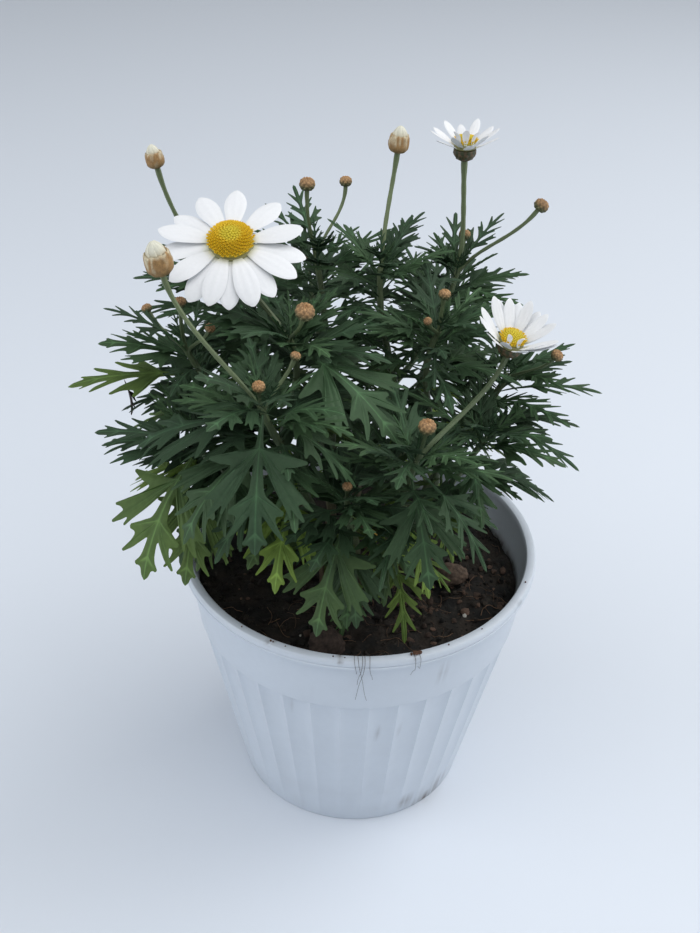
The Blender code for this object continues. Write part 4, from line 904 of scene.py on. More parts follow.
# Leaves stay off the soil outside the stems, and clear of the bare soil at the right of the pot
SOIL_MARGIN = 0.004
STEMS_REACH = 0.045
BARE_RIGHT = (0.038, 0.03, 0.166)
FIRST_FURTHER = 1000


def further_leaves():
    """The leaves that the solids leave out: one bright low leaf, and the rings of each shoot."""
    leaves = [BRIGHT_LEAF]
    for number, (name, shoot) in enumerate(SHOOTS.items()):
        outward = math.degrees(math.atan2(shoot.tip[1], shoot.tip[0]))
        for ring, i in ((ring, i) for ring in RINGS for i in range(ring.count)):
            share = i / (ring.count - 1)
            place, rise, droop, size = (start + change * share
                                        for start, change in (ring.place, ring.rise, ring.droop, ring.size))
            bearing = shoot.first_bearing + ring.swing + GOLDEN_ANGLE * i
            if ring.outer:
                facing = math.cos(math.radians(bearing - outward))
                rise -= 8 * facing
                size *= 0.92 + 0.10 * facing
            kind = SHOOT_KINDS[shoot.fineness][ring.order[i % len(ring.order)]]
            most, step, counts = ring.twist
            twist = most * math.sin(step * i + counts * number)
            leaves.append(Leaf(name, place, bearing, rise, droop, shoot.size * size, kind, twist))
    return leaves


def coarse_sheet(leaf, lift, from_share):
    """A leaf's outline as a few triangles, for finding what it would touch."""
    rim = np.array(RIMS[leaf.kind])[::2]
    rim = np.concatenate([rim[rim[:, 1] >= from_share], [(0.0, 1.0, 1.0)]])
    count = len(rim)
    across = np.concatenate([rim[:, 0], -rim[:, 0], np.zeros(count)])
    along = np.concatenate([rim[:, 1], rim[:, 1], np.maximum(rim[:, 2], from_share)])
    points = leaf_points(leaf, across, along, np.full(3 * count, lift))
    right = np.arange(count - 1)
    left = right + count
    rib = left + count
    faces = [np.stack(corners, -1) for corners in ((rib, right, right + 1), (rib, left, left + 1),
                                                   (rib, right + 1, rib + 1))]
    return points, np.concatenate(faces)


def tree_of(points, faces):
    """A search tree of triangles, with its box."""
    return BVHTree.FromPolygons(points.tolist(), faces.tolist()), points.min(axis=0), points.max(axis=0)


def fitted_leaves(wanted):
    """Those further leaves that find room; a blocked one is swung, lifted or made smaller, or left out."""
    space = []
    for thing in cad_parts.values():
        thing.data.calc_loop_triangles()
        faces = np.array([t.vertices[:] for t in thing.data.loop_triangles])
        space.append(tree_of(np.array([v.co for v in thing.data.vertices]), faces))
    fitted = []
    for number, leaf in enumerate(wanted):
        for tried in tries(leaf, *FIT_TRIES):
            start = min(FIT_FOOT_SHARE, FIT_FOOT / tried.length)
            sheets = [coarse_sheet(tried, lift, start) for lift in (FIT_LIFT, -FIT_LIFT)]
            tree, low, high = tree_of(*joined(sheets))
            middle = (low + high) / 2
            hangs_out = low[2] < SOIL_LEVEL + SOIL_MARGIN and np.hypot(*middle[:2]) > STEMS_REACH
            hides_soil = middle[0] > BARE_RIGHT[0] and middle[1] < BARE_RIGHT[1] and low[2] < BARE_RIGHT[2]
            if hangs_out or hides_soil:
                continue
            near = [other for other, other_low, other_high in space
                    if not (np.any(low > other_high) or np.any(high < other_low))]
            if not any(tree.overlap(other) for other in near):
                fitted.append((FIRST_FURTHER + number, tried))
                space.append(tree_of(*coarse_sheet(tried, 0.0, start)))
                break
    return fitted


LEAF_GREENS = [(0.027, 0.062, 0.031), (0.021, 0.048, 0.026), (0.037, 0.080, 0.035), (0.030, 0.069, 0.031)]
OLD_GREEN = np.array((0.155, 0.245, 0.040))
# How far some leaves have yellowed, by their number: the placed ones' in the list above, and the bright one
FAR_LEFT = 17
LEAF_AGES = {4: 0.36, 5: 0.45, 6: 0.85, 8: 0.18, 9: 0.10, 10: 0.12, 13: 0.95, 14: 0.60,
             FAR_LEFT: 0.45, 18: 0.40, FIRST_FURTHER: 0.90}
# The leaf that reaches farthest to the left is longer than its solid
LEAF_STRETCH = {FAR_LEFT: 1.20}


def leaf_colour(number, points, rimward, face, age):
    """Blue green, a little different on each leaf, paler below, and yellow green where the leaf is old."""
    base = np.array(LEAF_GREENS[number % 4]) * (1 + 0.10 * math.sin(number * 2.1))
    colour = mottled(base, points, 0.12, 0.009, 71) * np.where(face < 0, 1.25, 1.0)[:, None]
    aged = np.clip(age * (0.75 + 0.45 * rimward + 0.3 * lattice_noise(points, 0.008, 72)), 0, 1)[:, None]
    return blend(colour, OLD_GREEN, aged)


def leaf_part(number, key, leaf):
    """One finished leaf: its template skewed, rippled and puckered, and bent to its place.

    Each is skewed by the squares of across and along, rippled by two sines of its own phase, and swells
    between its veins. It is older the lower it grows.
    """
    flat, triangles, vein, rimward, face, swell = templates[leaf.kind]
    across, along, lift = flat.T
    phase = number * 1.93
    leaf = leaf._replace(length=leaf.length * LEAF_STRETCH.get(key, 1.0))
    along = along + 0.30 * math.sin(1.3 * number) * across ** 2
    across = across * (1 + 0.10 * math.sin(phase)) + 0.045 * math.sin(2.7 * number) * along ** 2
    ripple = 0.016 * np.sin(8 * along + phase) * np.minimum(np.abs(across) * 6, 1)
    ripple = (ripple + 0.010 * np.sin(14 * across + phase) + LEAF_PUCKER * swell) * leaf.length
    lift = lift * LEAF_THICKNESS / 2 + ripple * np.clip(along * 4 - 0.6, 0, 1)
    points = leaf_points(leaf, across, along, lift)
    age = LEAF_AGES.get(key, np.clip(0.95 - (leaf.place - 0.30) * 2.6, 0.04, 0.8))
    return points, triangles, leaf_colour(number, points, rimward, face, age), vein


def veined_finish():
    """The leaves' skin: matt and grained, with paler veins that stand up a little."""
    finish = grained_finish("leaf_skin", 0.66, 500, 0.12, 0.25, 0.0003, Specular_IOR_Level=0.32)
    shader = finish.node_tree.nodes["Principled BSDF"]
    skin = shader.inputs["Base Color"].links[0].from_socket
    grain = shader.inputs["Normal"].links[0].from_socket
    value = add_node(finish, "Attribute", {}, attribute_name="vein").outputs["Fac"]
    line = add_node(finish, "Math", {0: value, 1: 3.0}, operation="POWER").outputs[0]
    gain = add_node(finish, "MapRange", {"Value": line, "To Min": 0.95, "To Max": 2.3}).outputs["Result"]
    veined = add_node(finish, "VectorMath", {0: skin, 1: gain}, operation="MULTIPLY").outputs[0]
    relief = add_node(finish, "Bump", {"Height": line, "Strength": 0.4, "Distance": 0.0004, "Normal": grain})
    finish.node_tree.links.new(veined, shader.inputs["Base Color"])
    finish.node_tree.links.new(relief.outputs["Normal"], shader.inputs["Normal"])
    return finish


all_leaves = solid_leaves() + fitted_leaves(further_leaves())
templates = {kind: leaf_template(kind) for kind in RIMS}
leaf_finish = veined_finish()
for stem in HOLES:
    parts = [leaf_part(number, key, leaf) for number, (key, leaf) in enumerate(all_leaves)
             if SHOOTS[leaf.shoot].stem == stem]
    blade_points, blade_triangles, leaf_tint, leaf_vein = joined(parts)
    leaf_piece = shape_object(stem + "_leaves", blade_points, blade_triangles, leaf_finish, 60, leaf_tint,
                              vein=leaf_vein)
    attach(leaf_piece, "root")
    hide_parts(stem)

# Blooms: each has a ring of white ray petals in two or three overlapping layers round a low golden disc. A
# petal is a thin oval strap with two shallow grooves and a faintly notched tip, narrow where it joins the
# head.
Petals = namedtuple("Petals", "bearings layers length rise droop front_droop widths shorter")
CUP_HEIGHT = 0.0042
SEAT_GAP = 0.0003
PLATE_THICKNESS = 0.0022
LAYER_STEP = 0.0008
LAYER_RISE = 5
ROOT_INSET = {"bloom_front": 0.0012, "bloom_right": 0.0, "bloom_back": 0.0004}
PETAL_THICKNESS = 0.00040
PETAL_FOLD = -0.02
PETAL_SAG = 0.3
PETAL_ROWS = 26
PETAL_COLUMNS = 13
PETAL_WHITE = np.array((0.80, 0.815, 0.835))
PETAL_FOOT = np.array((0.62, 0.66, 0.48))
PLATE_COLUMNS = 40
PETAL_WIDTHS = [(0, 0.075), (0.1, 0.108), (0.25, 0.158), (0.4, 0.194), (0.55, 0.218), (0.7, 0.226),
                (1.0, 0.215)]
SHORT_WIDTHS = [(0, 0.075), (0.12, 0.105), (0.3, 0.145), (0.5, 0.170), (0.7, 0.176), (1.0, 0.165)]
PETAL_TIP_START = 0.48
PETAL_TIP_POWER = 2.3
GROOVE_PLACE = 0.36
GROOVE_WIDTH = 0.11
GROOVE_DEPTH = 0.009
PETAL_NOTCH = 0.005
PLATE_GREEN = np.array((0.26, 0.25, 0.10))
RIGHT_BEARINGS = [k * 30 + 8 for k in range(12)] + [23, 53, 83, 113, -22]
PETALS = {
    "bloom_front": Petals([89, 50, 15, -6, -29, -51, -69, -88, -104, -121, -141, -172, 170, 148, 121],
                          [0, 0, 0, 1, 0, 1, 0, 1, 0, 1, 0, 1, 0, 1, 0], 0.0205, 6, 10, 26,
                          PETAL_WIDTHS, 0.10),
    "bloom_right": Petals(RIGHT_BEARINGS, [k % 2 for k in range(12)] + [2, 2, 2, 2, 2], 0.0150, 42, -6, 0,
                          SHORT_WIDTHS, 0.0),
    "bloom_back": Petals([k * 30 + 5 for k in range(12)], [k % 2 for k in range(12)], 0.0118, 33, 0, 0,
                         SHORT_WIDTHS, 0.0),
}
# Small petals that have curled in over the disc: bearing, length, rise and droop
CURLED = {"bloom_right": [(-118, 0.0072, 118, 80), (-66, 0.0076, 112, 84)],
          "bloom_back": [(-130, 0.0080, 94, 66), (-92, 0.0090, 100, 72), (-50, 0.0082, 92, 66)]}
CURLED_WIDTH = 0.95


def petal_sheet(widths, stretch):
    """A petal laid flat, above and below, closed at its rim.

    Across is u times the half width. From PETAL_TIP_START up, that falls by the square root of
    1 - share ** PETAL_TIP_POWER to a rounded point. The thickness dies away to the rim, and two grooves run
    up at |u| = GROOVE_PLACE.
    """
    v = np.sin(np.linspace(0, math.pi / 2, PETAL_ROWS))[:, None]
    u = np.linspace(-1, 1, PETAL_COLUMNS)[None, :]
    shares, halves = np.array(widths).T
    tip_share = np.clip((v - PETAL_TIP_START) / (1.006 - PETAL_TIP_START), 0, 1)
    half = np.interp(v, shares, halves) * np.sqrt(1 - tip_share ** PETAL_TIP_POWER)
    across = half * u * stretch
    notch = PETAL_NOTCH * np.cos(2.6 * math.pi * u) * v ** 12
    along = v * (0.99 - 0.02 * np.abs(u) ** 2.4 * v ** 4) + notch
    groove = -GROOVE_DEPTH * np.exp(-((np.abs(u) - GROOVE_PLACE) / GROOVE_WIDTH) ** 2)
    groove = groove * np.sin(math.pi * np.clip(v * 1.05, 0, 1))
    body = np.clip((1 - np.abs(u)) * 4, 0, 1) * np.clip((1 - v) * 12, 0, 1) * np.clip(v * 30, 0, 1)
    faces = grid_triangles(PETAL_ROWS, PETAL_COLUMNS, False)
    sheets = []
    for face in (1, -1):
        points = np.stack([across + 0 * v, along, groove + 0 * u], -1).reshape(-1, 3)
        half_lift = (face * 0.5 * body).ravel()
        sheets.append((np.column_stack([points, half_lift]), faces if face > 0 else faces[:, ::-1],
                       (v + 0 * u).ravel()))
    points, triangles, height = joined(sheets)
    points, triangles, kept = weld(points, triangles)
    return points, triangles, height[kept]


def head_frame(head):
    """The head's foot, and its ways: the two that its petals' bearings are measured from, and its axis."""
    axis = unit(head.axis)
    right = unit(np.cross((0.0, 1.0, 0.0), axis))
    return np.array(head.place), (right, np.cross(axis, right), axis)


def petal_parts(name, head, rng):
    """Every petal of a bloom: the flat sheet bent along an arc from its root beside the disc."""
    petals = PETALS[name]
    place, (right, back, axis) = head_frame(head)
    base = place + (CUP_HEIGHT + SEAT_GAP) * axis
    held = []
    for bearing, layer in zip(petals.bearings, petals.layers):
        away = math.sin(math.radians(bearing))
        length = petals.length * rng.uniform(0.96, 1.03) * (1 - petals.shorter * max(0.0, away))
        rise = petals.rise - LAYER_RISE * layer + rng.uniform(-3, 3)
        droop = petals.droop + petals.front_droop * max(0.0, -away) + rng.uniform(-4, 4)
        held.append((bearing, length, rise, droop, PLATE_THICKNESS / 2 + (0.5 - layer) * LAYER_STEP, 1.0))
    held += [(*curled, PLATE_THICKNESS, CURLED_WIDTH) for curled in CURLED.get(name, [])]
    parts = []
    for number, (bearing, length, rise, droop, root_height, stretch) in enumerate(held):
        turn = math.radians(bearing)
        forward = math.cos(turn) * right + math.sin(turn) * back
        points, triangles, height = petal_sheet(petals.widths, stretch * rng.uniform(0.94, 1.04))
        across, along, groove, half = points.T
        curl = 0.010 * np.sin(along * 5 + number) * np.abs(across) / 0.2
        lift = length * (groove + curl) + half * PETAL_THICKNESS
        inset = ROOT_INSET[name]
        root = base + root_height * axis + (head.width / 2 - inset) * forward
        length += inset
        parts.append((arched(root, forward, axis, length, rise, droop, across, along, lift, fold=PETAL_FOLD,
                             sag=PETAL_SAG, twist=rng.uniform(-7, 7)), triangles, height))
    return parts


def plate_part(head):
    """The thin green plate that carries the petals, turned from its outline. Its petal height is -1."""
    rim = head.width / 2
    radii = [0.0, rim - 0.0003, rim, rim - 0.0005, 0.0]
    heights = np.array([0.0, 0.0002, PLATE_THICKNESS / 2, PLATE_THICKNESS, PLATE_THICKNESS])
    heights = heights + CUP_HEIGHT + SEAT_GAP
    points, triangles, _ = turned_surface(*head_frame(head), radii, heights, PLATE_COLUMNS)
    return points, triangles, np.full(len(points), -1.0)


petal_finish = grained_finish("petal_skin", 0.50, 900, 0.02, 0.12, 0.0002, Sheen_Weight=0.08,
                              Sheen_Roughness=0.4)
for name in PETALS:
    head = HEADS[name]
    parts = petal_parts(name, head, np.random.default_rng(len(name) + 80)) + [plate_part(head)]
    petal_points, petal_triangles, petal_height = joined(parts)
    root_share = np.clip(1 - petal_height * 6, 0, 1)[:, None]
    petal_tint = blend(PETAL_WHITE, PETAL_FOOT, root_share)
    petal_tint[petal_height < 0] = PLATE_GREEN
    petal_piece = shape_object(name + "_rays", petal_points, petal_triangles, petal_finish, 70, petal_tint)
    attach(petal_piece, "root")
    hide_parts(name + "_petals")

# Discs: a low dome packed with tubular florets in spirals. The outer ones are open, with five lobes and
# painted shade in the throat, and the middle ones are still shut and greener. The dome under them is
# darkened by painted shade too.
DISC_RISE = {"bloom_front": 0.30, "bloom_right": 0.22, "bloom_back": 0.25}
FLORETS = {"bloom_front": (230, 0.36), "bloom_right": (110, 0.72), "bloom_back": (90, 0.60)}
DISC_EDGE = 0.0006
FLORET_SIDES = 10
# The outline of a floret in shares of the pitch between two florets: shut, and open with its mouth and
# throat, and how far each of the outline's points waves into lobes and is darkened by painted shade when open
SHUT_FLORET = [(0.0, 0.0), (0.46, 0.0), (0.50, 0.35), (0.46, 0.62), (0.30, 0.80), (0.12, 0.86), (0.0, 0.84)]
OPEN_FLORET = [(0.0, 0.0), (0.34, 0.0), (0.32, 0.75), (0.46, 1.15), (0.52, 1.28), (0.22, 1.05), (0.0, 0.70)]
FLORET_LOBES = np.array([0, 0, 0, 0.4, 1, 0.3, 0])[None, :, None]
FLORET_THROAT_SHADE = np.array([0, 0, 0.1, 0.1, 0, 0.5, 1.0])[None, :, None]
SHUT_YELLOW = np.array((0.60, 0.48, 0.020))
OPEN_GOLD = np.array((0.86, 0.58, 0.012))
# A floret's size and how deep it sits are in pitches, its lobes in shares of its radius, and its lean at the
# dome's edge in shares of its height. FLORET_OPENING is how much of the dome's radius the florets take to go
# from shut to open
FLORET_WIDE = 1.12
FLORET_LOBE = 0.34
FLORET_LEAN = 0.55
FLORET_SUNK = 0.3
FLORET_OPENING = 0.16
# The florets' circle, the dome's edge and the dome's height, in shares of the disc's radius and rise
FLORET_CIRCLE = 0.955
DOME_EDGE = 0.93
DOME_HEIGHT = 0.92
DOME_COLUMNS = 48


def floret_parts(base, ways, radius, rise, count, shut_share):
    """Florets on a dome: number n stands at the share sqrt((n + 0.5) / count) of its radius.

    It is turned n golden angles. Its outline mixes the shut and the open one, and the open mouth's radius
    waves five times round.
    """
    right, back, axis = ways
    number = np.arange(count)
    share = np.sqrt((number + 0.5) / count)
    bearing = np.radians(GOLDEN_ANGLE) * number
    pitch = radius * math.sqrt(math.pi / count)
    opening = np.clip((share - shut_share) / FLORET_OPENING, 0, 1)[:, None, None]
    mixed = np.array(SHUT_FLORET)[None] * (1 - opening) + np.array(OPEN_FLORET)[None] * opening
    turn = np.arange(FLORET_SIDES) * 2 * math.pi / FLORET_SIDES
    lobes = 1 + FLORET_LOBE * np.cos(5 * turn) * FLORET_LOBES * opening
    across = mixed[:, :, 0, None] * lobes * pitch * FLORET_WIDE
    up = np.broadcast_to(mixed[:, :, 1, None], across.shape) * pitch
    lean = FLORET_LEAN * share[:, None, None]
    reach = radius * FLORET_CIRCLE * share
    east = reach * np.cos(bearing)
    north = reach * np.sin(bearing)
    height = DISC_EDGE + rise * (1 - share ** 2) * DOME_HEIGHT
    out_x = np.cos(bearing)[:, None, None]
    out_y = np.sin(bearing)[:, None, None]
    local_x = east[:, None, None] + across * np.cos(turn) + lean * up * out_x
    local_y = north[:, None, None] + across * np.sin(turn) + lean * up * out_y
    local_z = height[:, None, None] - FLORET_SUNK * pitch + up
    points = base + local_x[..., None] * right + local_y[..., None] * back + local_z[..., None] * axis
    rows = len(SHUT_FLORET)
    triangles = grid_triangles(rows, FLORET_SIDES, True)[None] + rows * FLORET_SIDES * number[:, None, None]
    throat = np.broadcast_to(FLORET_THROAT_SHADE * opening, across.shape).ravel()
    openness = np.broadcast_to(opening, across.shape).ravel()
    points, triangles, kept = weld(points.reshape(-1, 3), triangles.reshape(-1, 3), 1e-8)
    return points, triangles, throat[kept], openness[kept]


def dome_part(base, ways, radius, rise):
    """The low dome under the florets: its height falls from its middle by the square of its radius."""
    share = np.linspace(DOME_EDGE, 0, 10)
    radii = radius * np.concatenate([[0.0, DOME_EDGE, 0.95], share])
    heights = np.concatenate([[0.0, 0.0, DISC_EDGE], DISC_EDGE + rise * DOME_HEIGHT * (1 - share ** 2)])
    points, triangles, _ = turned_surface(base, ways, radii, heights, DOME_COLUMNS)
    # The dome's throat value of 0.6 darkens it, as painted shade under the florets
    return points, triangles, np.full(len(points), 0.6), np.full(len(points), 0.3)


floret_finish = grained_finish("floret_skin", 0.62, 2500, 0.10, 0.3, 0.0002)
for name, (count, shut_share) in FLORETS.items():
    head = HEADS[name]
    place, ways = head_frame(head)
    base = place + (CUP_HEIGHT + PLATE_THICKNESS + 2 * SEAT_GAP) * ways[2]
    radius, rise = head.width / 2, DISC_RISE[name] * head.width
    disc_points, disc_triangles, throat, openness = joined(
        [dome_part(base, ways, radius, rise), floret_parts(base, ways, radius, rise, count, shut_share)])
    # Painted shade: the open florets' throats and the dome under them are darkened
    disc_tint = blend(SHUT_YELLOW, OPEN_GOLD, openness[:, None]) * (1 - 0.6 * throat[:, None])
    disc_piece = shape_object(name + "_florets", disc_points, disc_triangles, floret_finish, 50, disc_tint)
    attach(disc_piece, "root")
    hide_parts(name + "_disc")

# Opening buds: a round cup of dry brown scales with pale streaks, and the furled white petals standing
# out of it in a blunt cone, wrapped round each other.
CUP_OUTLINE = [(0.0, 0.0), (0.13, 0.0), (0.225, 0.02), (0.35, 0.09), (0.435, 0.20), (0.475, 0.34),
               (0.475, 0.50), (0.455, 0.64), (0.425, 0.76), (0.398, 0.83), (0.382, 0.82), (0.375, 0.66),
               (0.0, 0.58)]
TUFT_OUTLINE = [(0.0, 0.60), (0.32, 0.60), (0.345, 0.66), (0.358, 0.78), (0.345, 0.90), (0.295, 1.03),
                (0.220, 1.15), (0.140, 1.235), (0.06, 1.28), (0.0, 1.285)]
CUP_SCALES = Scales(6, 9, 72, 50, 0.30)
CUP_THICKNESS = 0.00035
CUP_POINT = 0.09
TUFT_ROWS = 36
TUFT_COLUMNS = 96
TUFT_PLEATS = 9
PLEAT_WRAP = 0.10
PLEAT_STEP = 0.11
TUFT_RAGGED = 0.05
SCALE_BROWN = (0.345, 0.200, 0.076)
SCALE_GREEN = np.array((0.075, 0.085, 0.035))
SCALE_PALE = np.array((0.66, 0.58, 0.40))
TUFT_TO_WHITE = np.array((0.12, 0.19, 0.24))


def furled_petals(place, axis, width):
    """Petals wrapped round each other: their outline turned round the axis, its radius stepped by pleats.

    The radius grows by PLEAT_STEP over a pleat, whose fraction runs from 0 to 1 and drops back. The pleats
    wind round by PLEAT_WRAP turns from foot to tip, where they end raggedly.
    """
    share = np.linspace(0, 1, TUFT_ROWS)[:, None]
    radius, height = resampled(np.array(TUFT_OUTLINE) * width, share)
    turn = np.arange(TUFT_COLUMNS) * 2 * math.pi / TUFT_COLUMNS
    pleat = turn / (2 * math.pi) * TUFT_PLEATS + PLEAT_WRAP * share * TUFT_PLEATS + 0.2 * np.sin(3 * turn)
    fraction = pleat % 1.0
    swell = 1 + PLEAT_STEP * (fraction ** 1.5 - 0.5) + 0.02 * np.sin(2 * turn)
    ragged = TUFT_RAGGED * width * np.sin(turn * TUFT_PLEATS / 2 + 1.0) * np.clip(share - 0.75, 0, 1)
    points = turned(place, ways_round(axis), radius * swell, height + ragged, TUFT_COLUMNS)
    points[-TUFT_COLUMNS:] = points[-TUFT_COLUMNS:].mean(axis=0)
    points, triangles, kept = weld(points, grid_triangles(TUFT_ROWS, TUFT_COLUMNS, True))
    return points, triangles, np.repeat(share, TUFT_COLUMNS)[kept], fraction.ravel()[kept]


def cup_colour(points, edge, share):
    """Green at the foot, brown above, and streaked pale towards the scales' points."""
    brown = mottled(SCALE_BROWN, points, 0.25, 0.0012, 91)
    streak = lattice_noise(points * np.array((1, 1, 0.25)), 0.0009, 92) + share * 3.2 - 1.55
    colour = blend(brown, SCALE_PALE, np.clip(streak, 0, 1)[:, None])
    colour = blend(colour, SCALE_GREEN, 0.7 * np.clip(1.35 - share * 3.2, 0, 1)[:, None])
    return colour * (1 - 0.22 * edge[:, None])


bud_finish = grained_finish("bud_scales", 0.66, 2200, 0.22, 0.4, 0.0002)
tuft_finish = grained_finish("bud_petals", 0.55, 1500, 0.04, 0.2, 0.0002)
for name, head in HEADS.items():
    if head.kind != "white_bud":
        continue
    right, back, axis = ways_round(head.axis)
    place = np.array(head.place) + SEAT_GAP * axis
    outline = np.array(CUP_OUTLINE) * head.width
    cup_points, cup_triangles, edge, share = scaly_knob(place, head.axis, outline, CUP_THICKNESS, CUP_SCALES)
    turn = np.arctan2((cup_points - place) @ back, (cup_points - place) @ right)
    rim_points = np.exp(-((share - 0.62) / 0.08) ** 2) * (0.5 + 0.5 * np.cos(CUP_SCALES.around * turn))
    cup_points = cup_points + CUP_POINT * head.width * rim_points[:, None] * axis
    cup_tint = cup_colour(cup_points, edge, share)
    cup_piece = shape_object(name + "_scales", cup_points, cup_triangles, bud_finish, 50, cup_tint)
    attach(cup_piece, "root")
    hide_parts(name + "_cup")
    tuft_points, tuft_triangles, share, fraction = furled_petals(place, head.axis, head.width)
    cream = SCALE_PALE + np.clip(share * 2.6 - 0.9, 0, 1)[:, None] * TUFT_TO_WHITE
    # Painted shade: each pleat is darker where it is tucked under the petal wrapped over it
    tuft_tint = cream * (0.80 + 0.20 * fraction[:, None])
    tuft_piece = shape_object(name + "_furled", tuft_points, tuft_triangles, tuft_finish, 50, tuft_tint)
    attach(tuft_piece, "root")
    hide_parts(name + "_tuft")

# Closed buds: round brown knobs, a little flat on top, wrapped in ranks of dry overlapping scales. Each
# has grown on the end of a thin stalk, and is still green round its foot.
BUD_OUTLINE = [(0.0, 0.0), (0.17, 0.0), (0.31, 0.03), (0.43, 0.12), (0.51, 0.26), (0.525, 0.41),
               (0.495, 0.57), (0.41, 0.69), (0.28, 0.77), (0.12, 0.805), (0.0, 0.81)]
BUD_SCALES = Scales(6, 9, 52, 36, 0.24)
BUD_SIZE = 0.82
BUD_THICKNESS = 0.10
BUD_BROWN = (0.240, 0.140, 0.062)
BUD_GREEN = np.array((0.060, 0.070, 0.030))
BUD_TIP = np.array((0.36, 0.20, 0.09))
for bud_number, (name, head) in enumerate(HEADS.items()):
    if head.kind != "bud":
        continue
    place = np.array(head.place) + SEAT_GAP * unit(head.axis)
    outline = np.array(BUD_OUTLINE) * BUD_SIZE * head.width
    bud_points, bud_triangles, edge, share = scaly_knob(place, head.axis, outline,
                                                        BUD_THICKNESS * head.width, BUD_SCALES)
    bud_tint = mottled(BUD_BROWN, bud_points, 0.4, 0.0008, 95) * (0.85 + 0.10 * (bud_number % 4))
    bud_tint = blend(bud_tint, BUD_TIP, 0.5 * np.clip(share * 2.4 - 1.6, 0, 1)[:, None])
    bud_tint = blend(bud_tint, BUD_GREEN, np.clip(2.7 - share * 4.2, 0, 0.95)[:, None])
    bud_tint = bud_tint * (0.95 + 0.95 * edge[:, None])
    bud_piece = shape_object(name + "_scales", bud_points, bud_triangles, bud_finish, 50, bud_tint)
    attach(bud_piece, "root")
    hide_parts(name)

# Withered leaves: one shrivelled brown leaf hangs under the leaf that reaches farthest left, and by the
# front stem are small ones whose tips have gone orange. Each is still held by its foot.
far_leaf = dict(all_leaves)[FAR_LEFT]
far_leaf = far_leaf._replace(length=far_leaf.length * LEAF_STRETCH[FAR_LEFT])
far_leaf_foot = leaf_points(far_leaf, np.zeros(1), np.array([0.58]), np.array([-0.0005]))[0]
front_foot = point_along(paths["front"], 0.80)[0]
front_high_foot = point_along(paths["front"], 0.86)[0]
# Each withered leaf: foot, heading, rise, droop, length, narrowing, fold, colour and kind
WITHERED = [(far_leaf_foot, (0.93, -0.37, 0.0), -66, 34, 0.0175, 0.55, 0.9, (0.028, 0.020, 0.016), "middle"),
            (front_foot, (0.94, -0.34, 0.0), 14, 24, 0.0190, 0.60, 0.4, (0.560, 0.270, 0.030), "fine"),
            (front_high_foot, (0.80, -0.60, 0.0), -6, 14, 0.0150, 0.55, 0.5, (0.500, 0.300, 0.050), "fine")]
WITHERED_GREEN = np.array((0.090, 0.150, 0.040))
withered_parts = []
for foot, heading, rise, droop, length, narrowing, fold, colour, kind in WITHERED:
    flat, triangles, vein, *_ = templates[kind]
    across, along, lift = flat.T
    points = arched(foot, unit(heading), UPWARD, length, rise, droop, across * narrowing, along,
                    lift * LEAF_THICKNESS / 2, fold=fold, sag=0.2, twist=25)
    dead = np.clip(along * 2.2 - 0.5, 0, 1) if kind == "fine" else np.ones(len(along))
    tint = blend(WITHERED_GREEN, np.array(colour), dead[:, None])
    withered_parts.append((points, triangles, tint, vein * 0.5))
withered_points, withered_triangles, withered_tint, withered_vein = joined(withered_parts)
withered_piece = shape_object("withered_leaves", withered_points, withered_triangles, leaf_finish, 60,
                              withered_tint, vein=withered_vein)
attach(withered_piece, "root")

# Root hairs: a few thin dark roots from the soil that are caught over the pot's lip and hang down outside.
# Each runs up the inner wall, over the lip and freely down, with its end swept a little aside.
HAIR_RADIUS = 0.00011
HAIR_BROWN = (0.045, 0.032, 0.024)
HAIR_FREE_FROM = 0.1215
HAIR_FREE_TO = 0.104
HAIR_OVER_LIP = np.array([(0.0722, 0.1100), (0.0733, 0.1135), (0.0746, 0.1200), (0.0753, 0.1268),
                          (0.0760, 0.12805), (0.0770, 0.12825), (0.0786, 0.12825), (0.0797, 0.1279),
                          (0.0804, 0.1268), (0.0804, 0.1255), (0.0803, 0.1215), (0.0795, 0.118),
                          (0.0785, 0.112), (0.0778, 0.104)])
# Each hair: bearing in degrees, height of its lower end and how far its end is swept round
HAIRS = [(-89.6, 0.1040, 3.4), (-88.2, 0.1130, -1.2), (-87.4, 0.1045, -2.6), (-86.2, 0.1160, 1.0),
         (-90.6, 0.1200, 0.6), (-72.3, 0.1165, -0.8), (-71.4, 0.1210, 0.5)]


def hair_path(bearing, low_end, sweep, seed):
    """A hair's centre line: over the lip at a bearing, its free part stretched to end at a given height."""
    radius, height = HAIR_OVER_LIP.T
    free = (HAIR_FREE_FROM - low_end) / (HAIR_FREE_FROM - HAIR_FREE_TO)
    height = np.where(height < HAIR_FREE_FROM, HAIR_FREE_FROM - (HAIR_FREE_FROM - height) * free, height)
    height[:3] = HAIR_OVER_LIP[:3, 1]
    share = np.linspace(0, 1, 44)
    turn = np.radians(bearing + sweep * share ** 3 + 0.25 * np.sin(share * 11 + seed))
    radius, height = resampled(np.column_stack([radius, height]), share)
    return np.column_stack([radius * np.cos(turn), radius * np.sin(turn), height])


hair_parts = []
for number, (bearing, low_end, sweep) in enumerate(HAIRS):
    path = hair_path(bearing, low_end, sweep, number)
    hair_parts.append(rod(path, np.linspace(HAIR_RADIUS, 0.6 * HAIR_RADIUS, len(path)), 6))
hair_points, hair_triangles = joined(hair_parts)
hair_tint = mottled(HAIR_BROWN, hair_points, 0.3, 0.004, 101)
hair_piece = shape_object("root_hairs", hair_points, hair_triangles, peat, 60, hair_tint)
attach(hair_piece, "root")

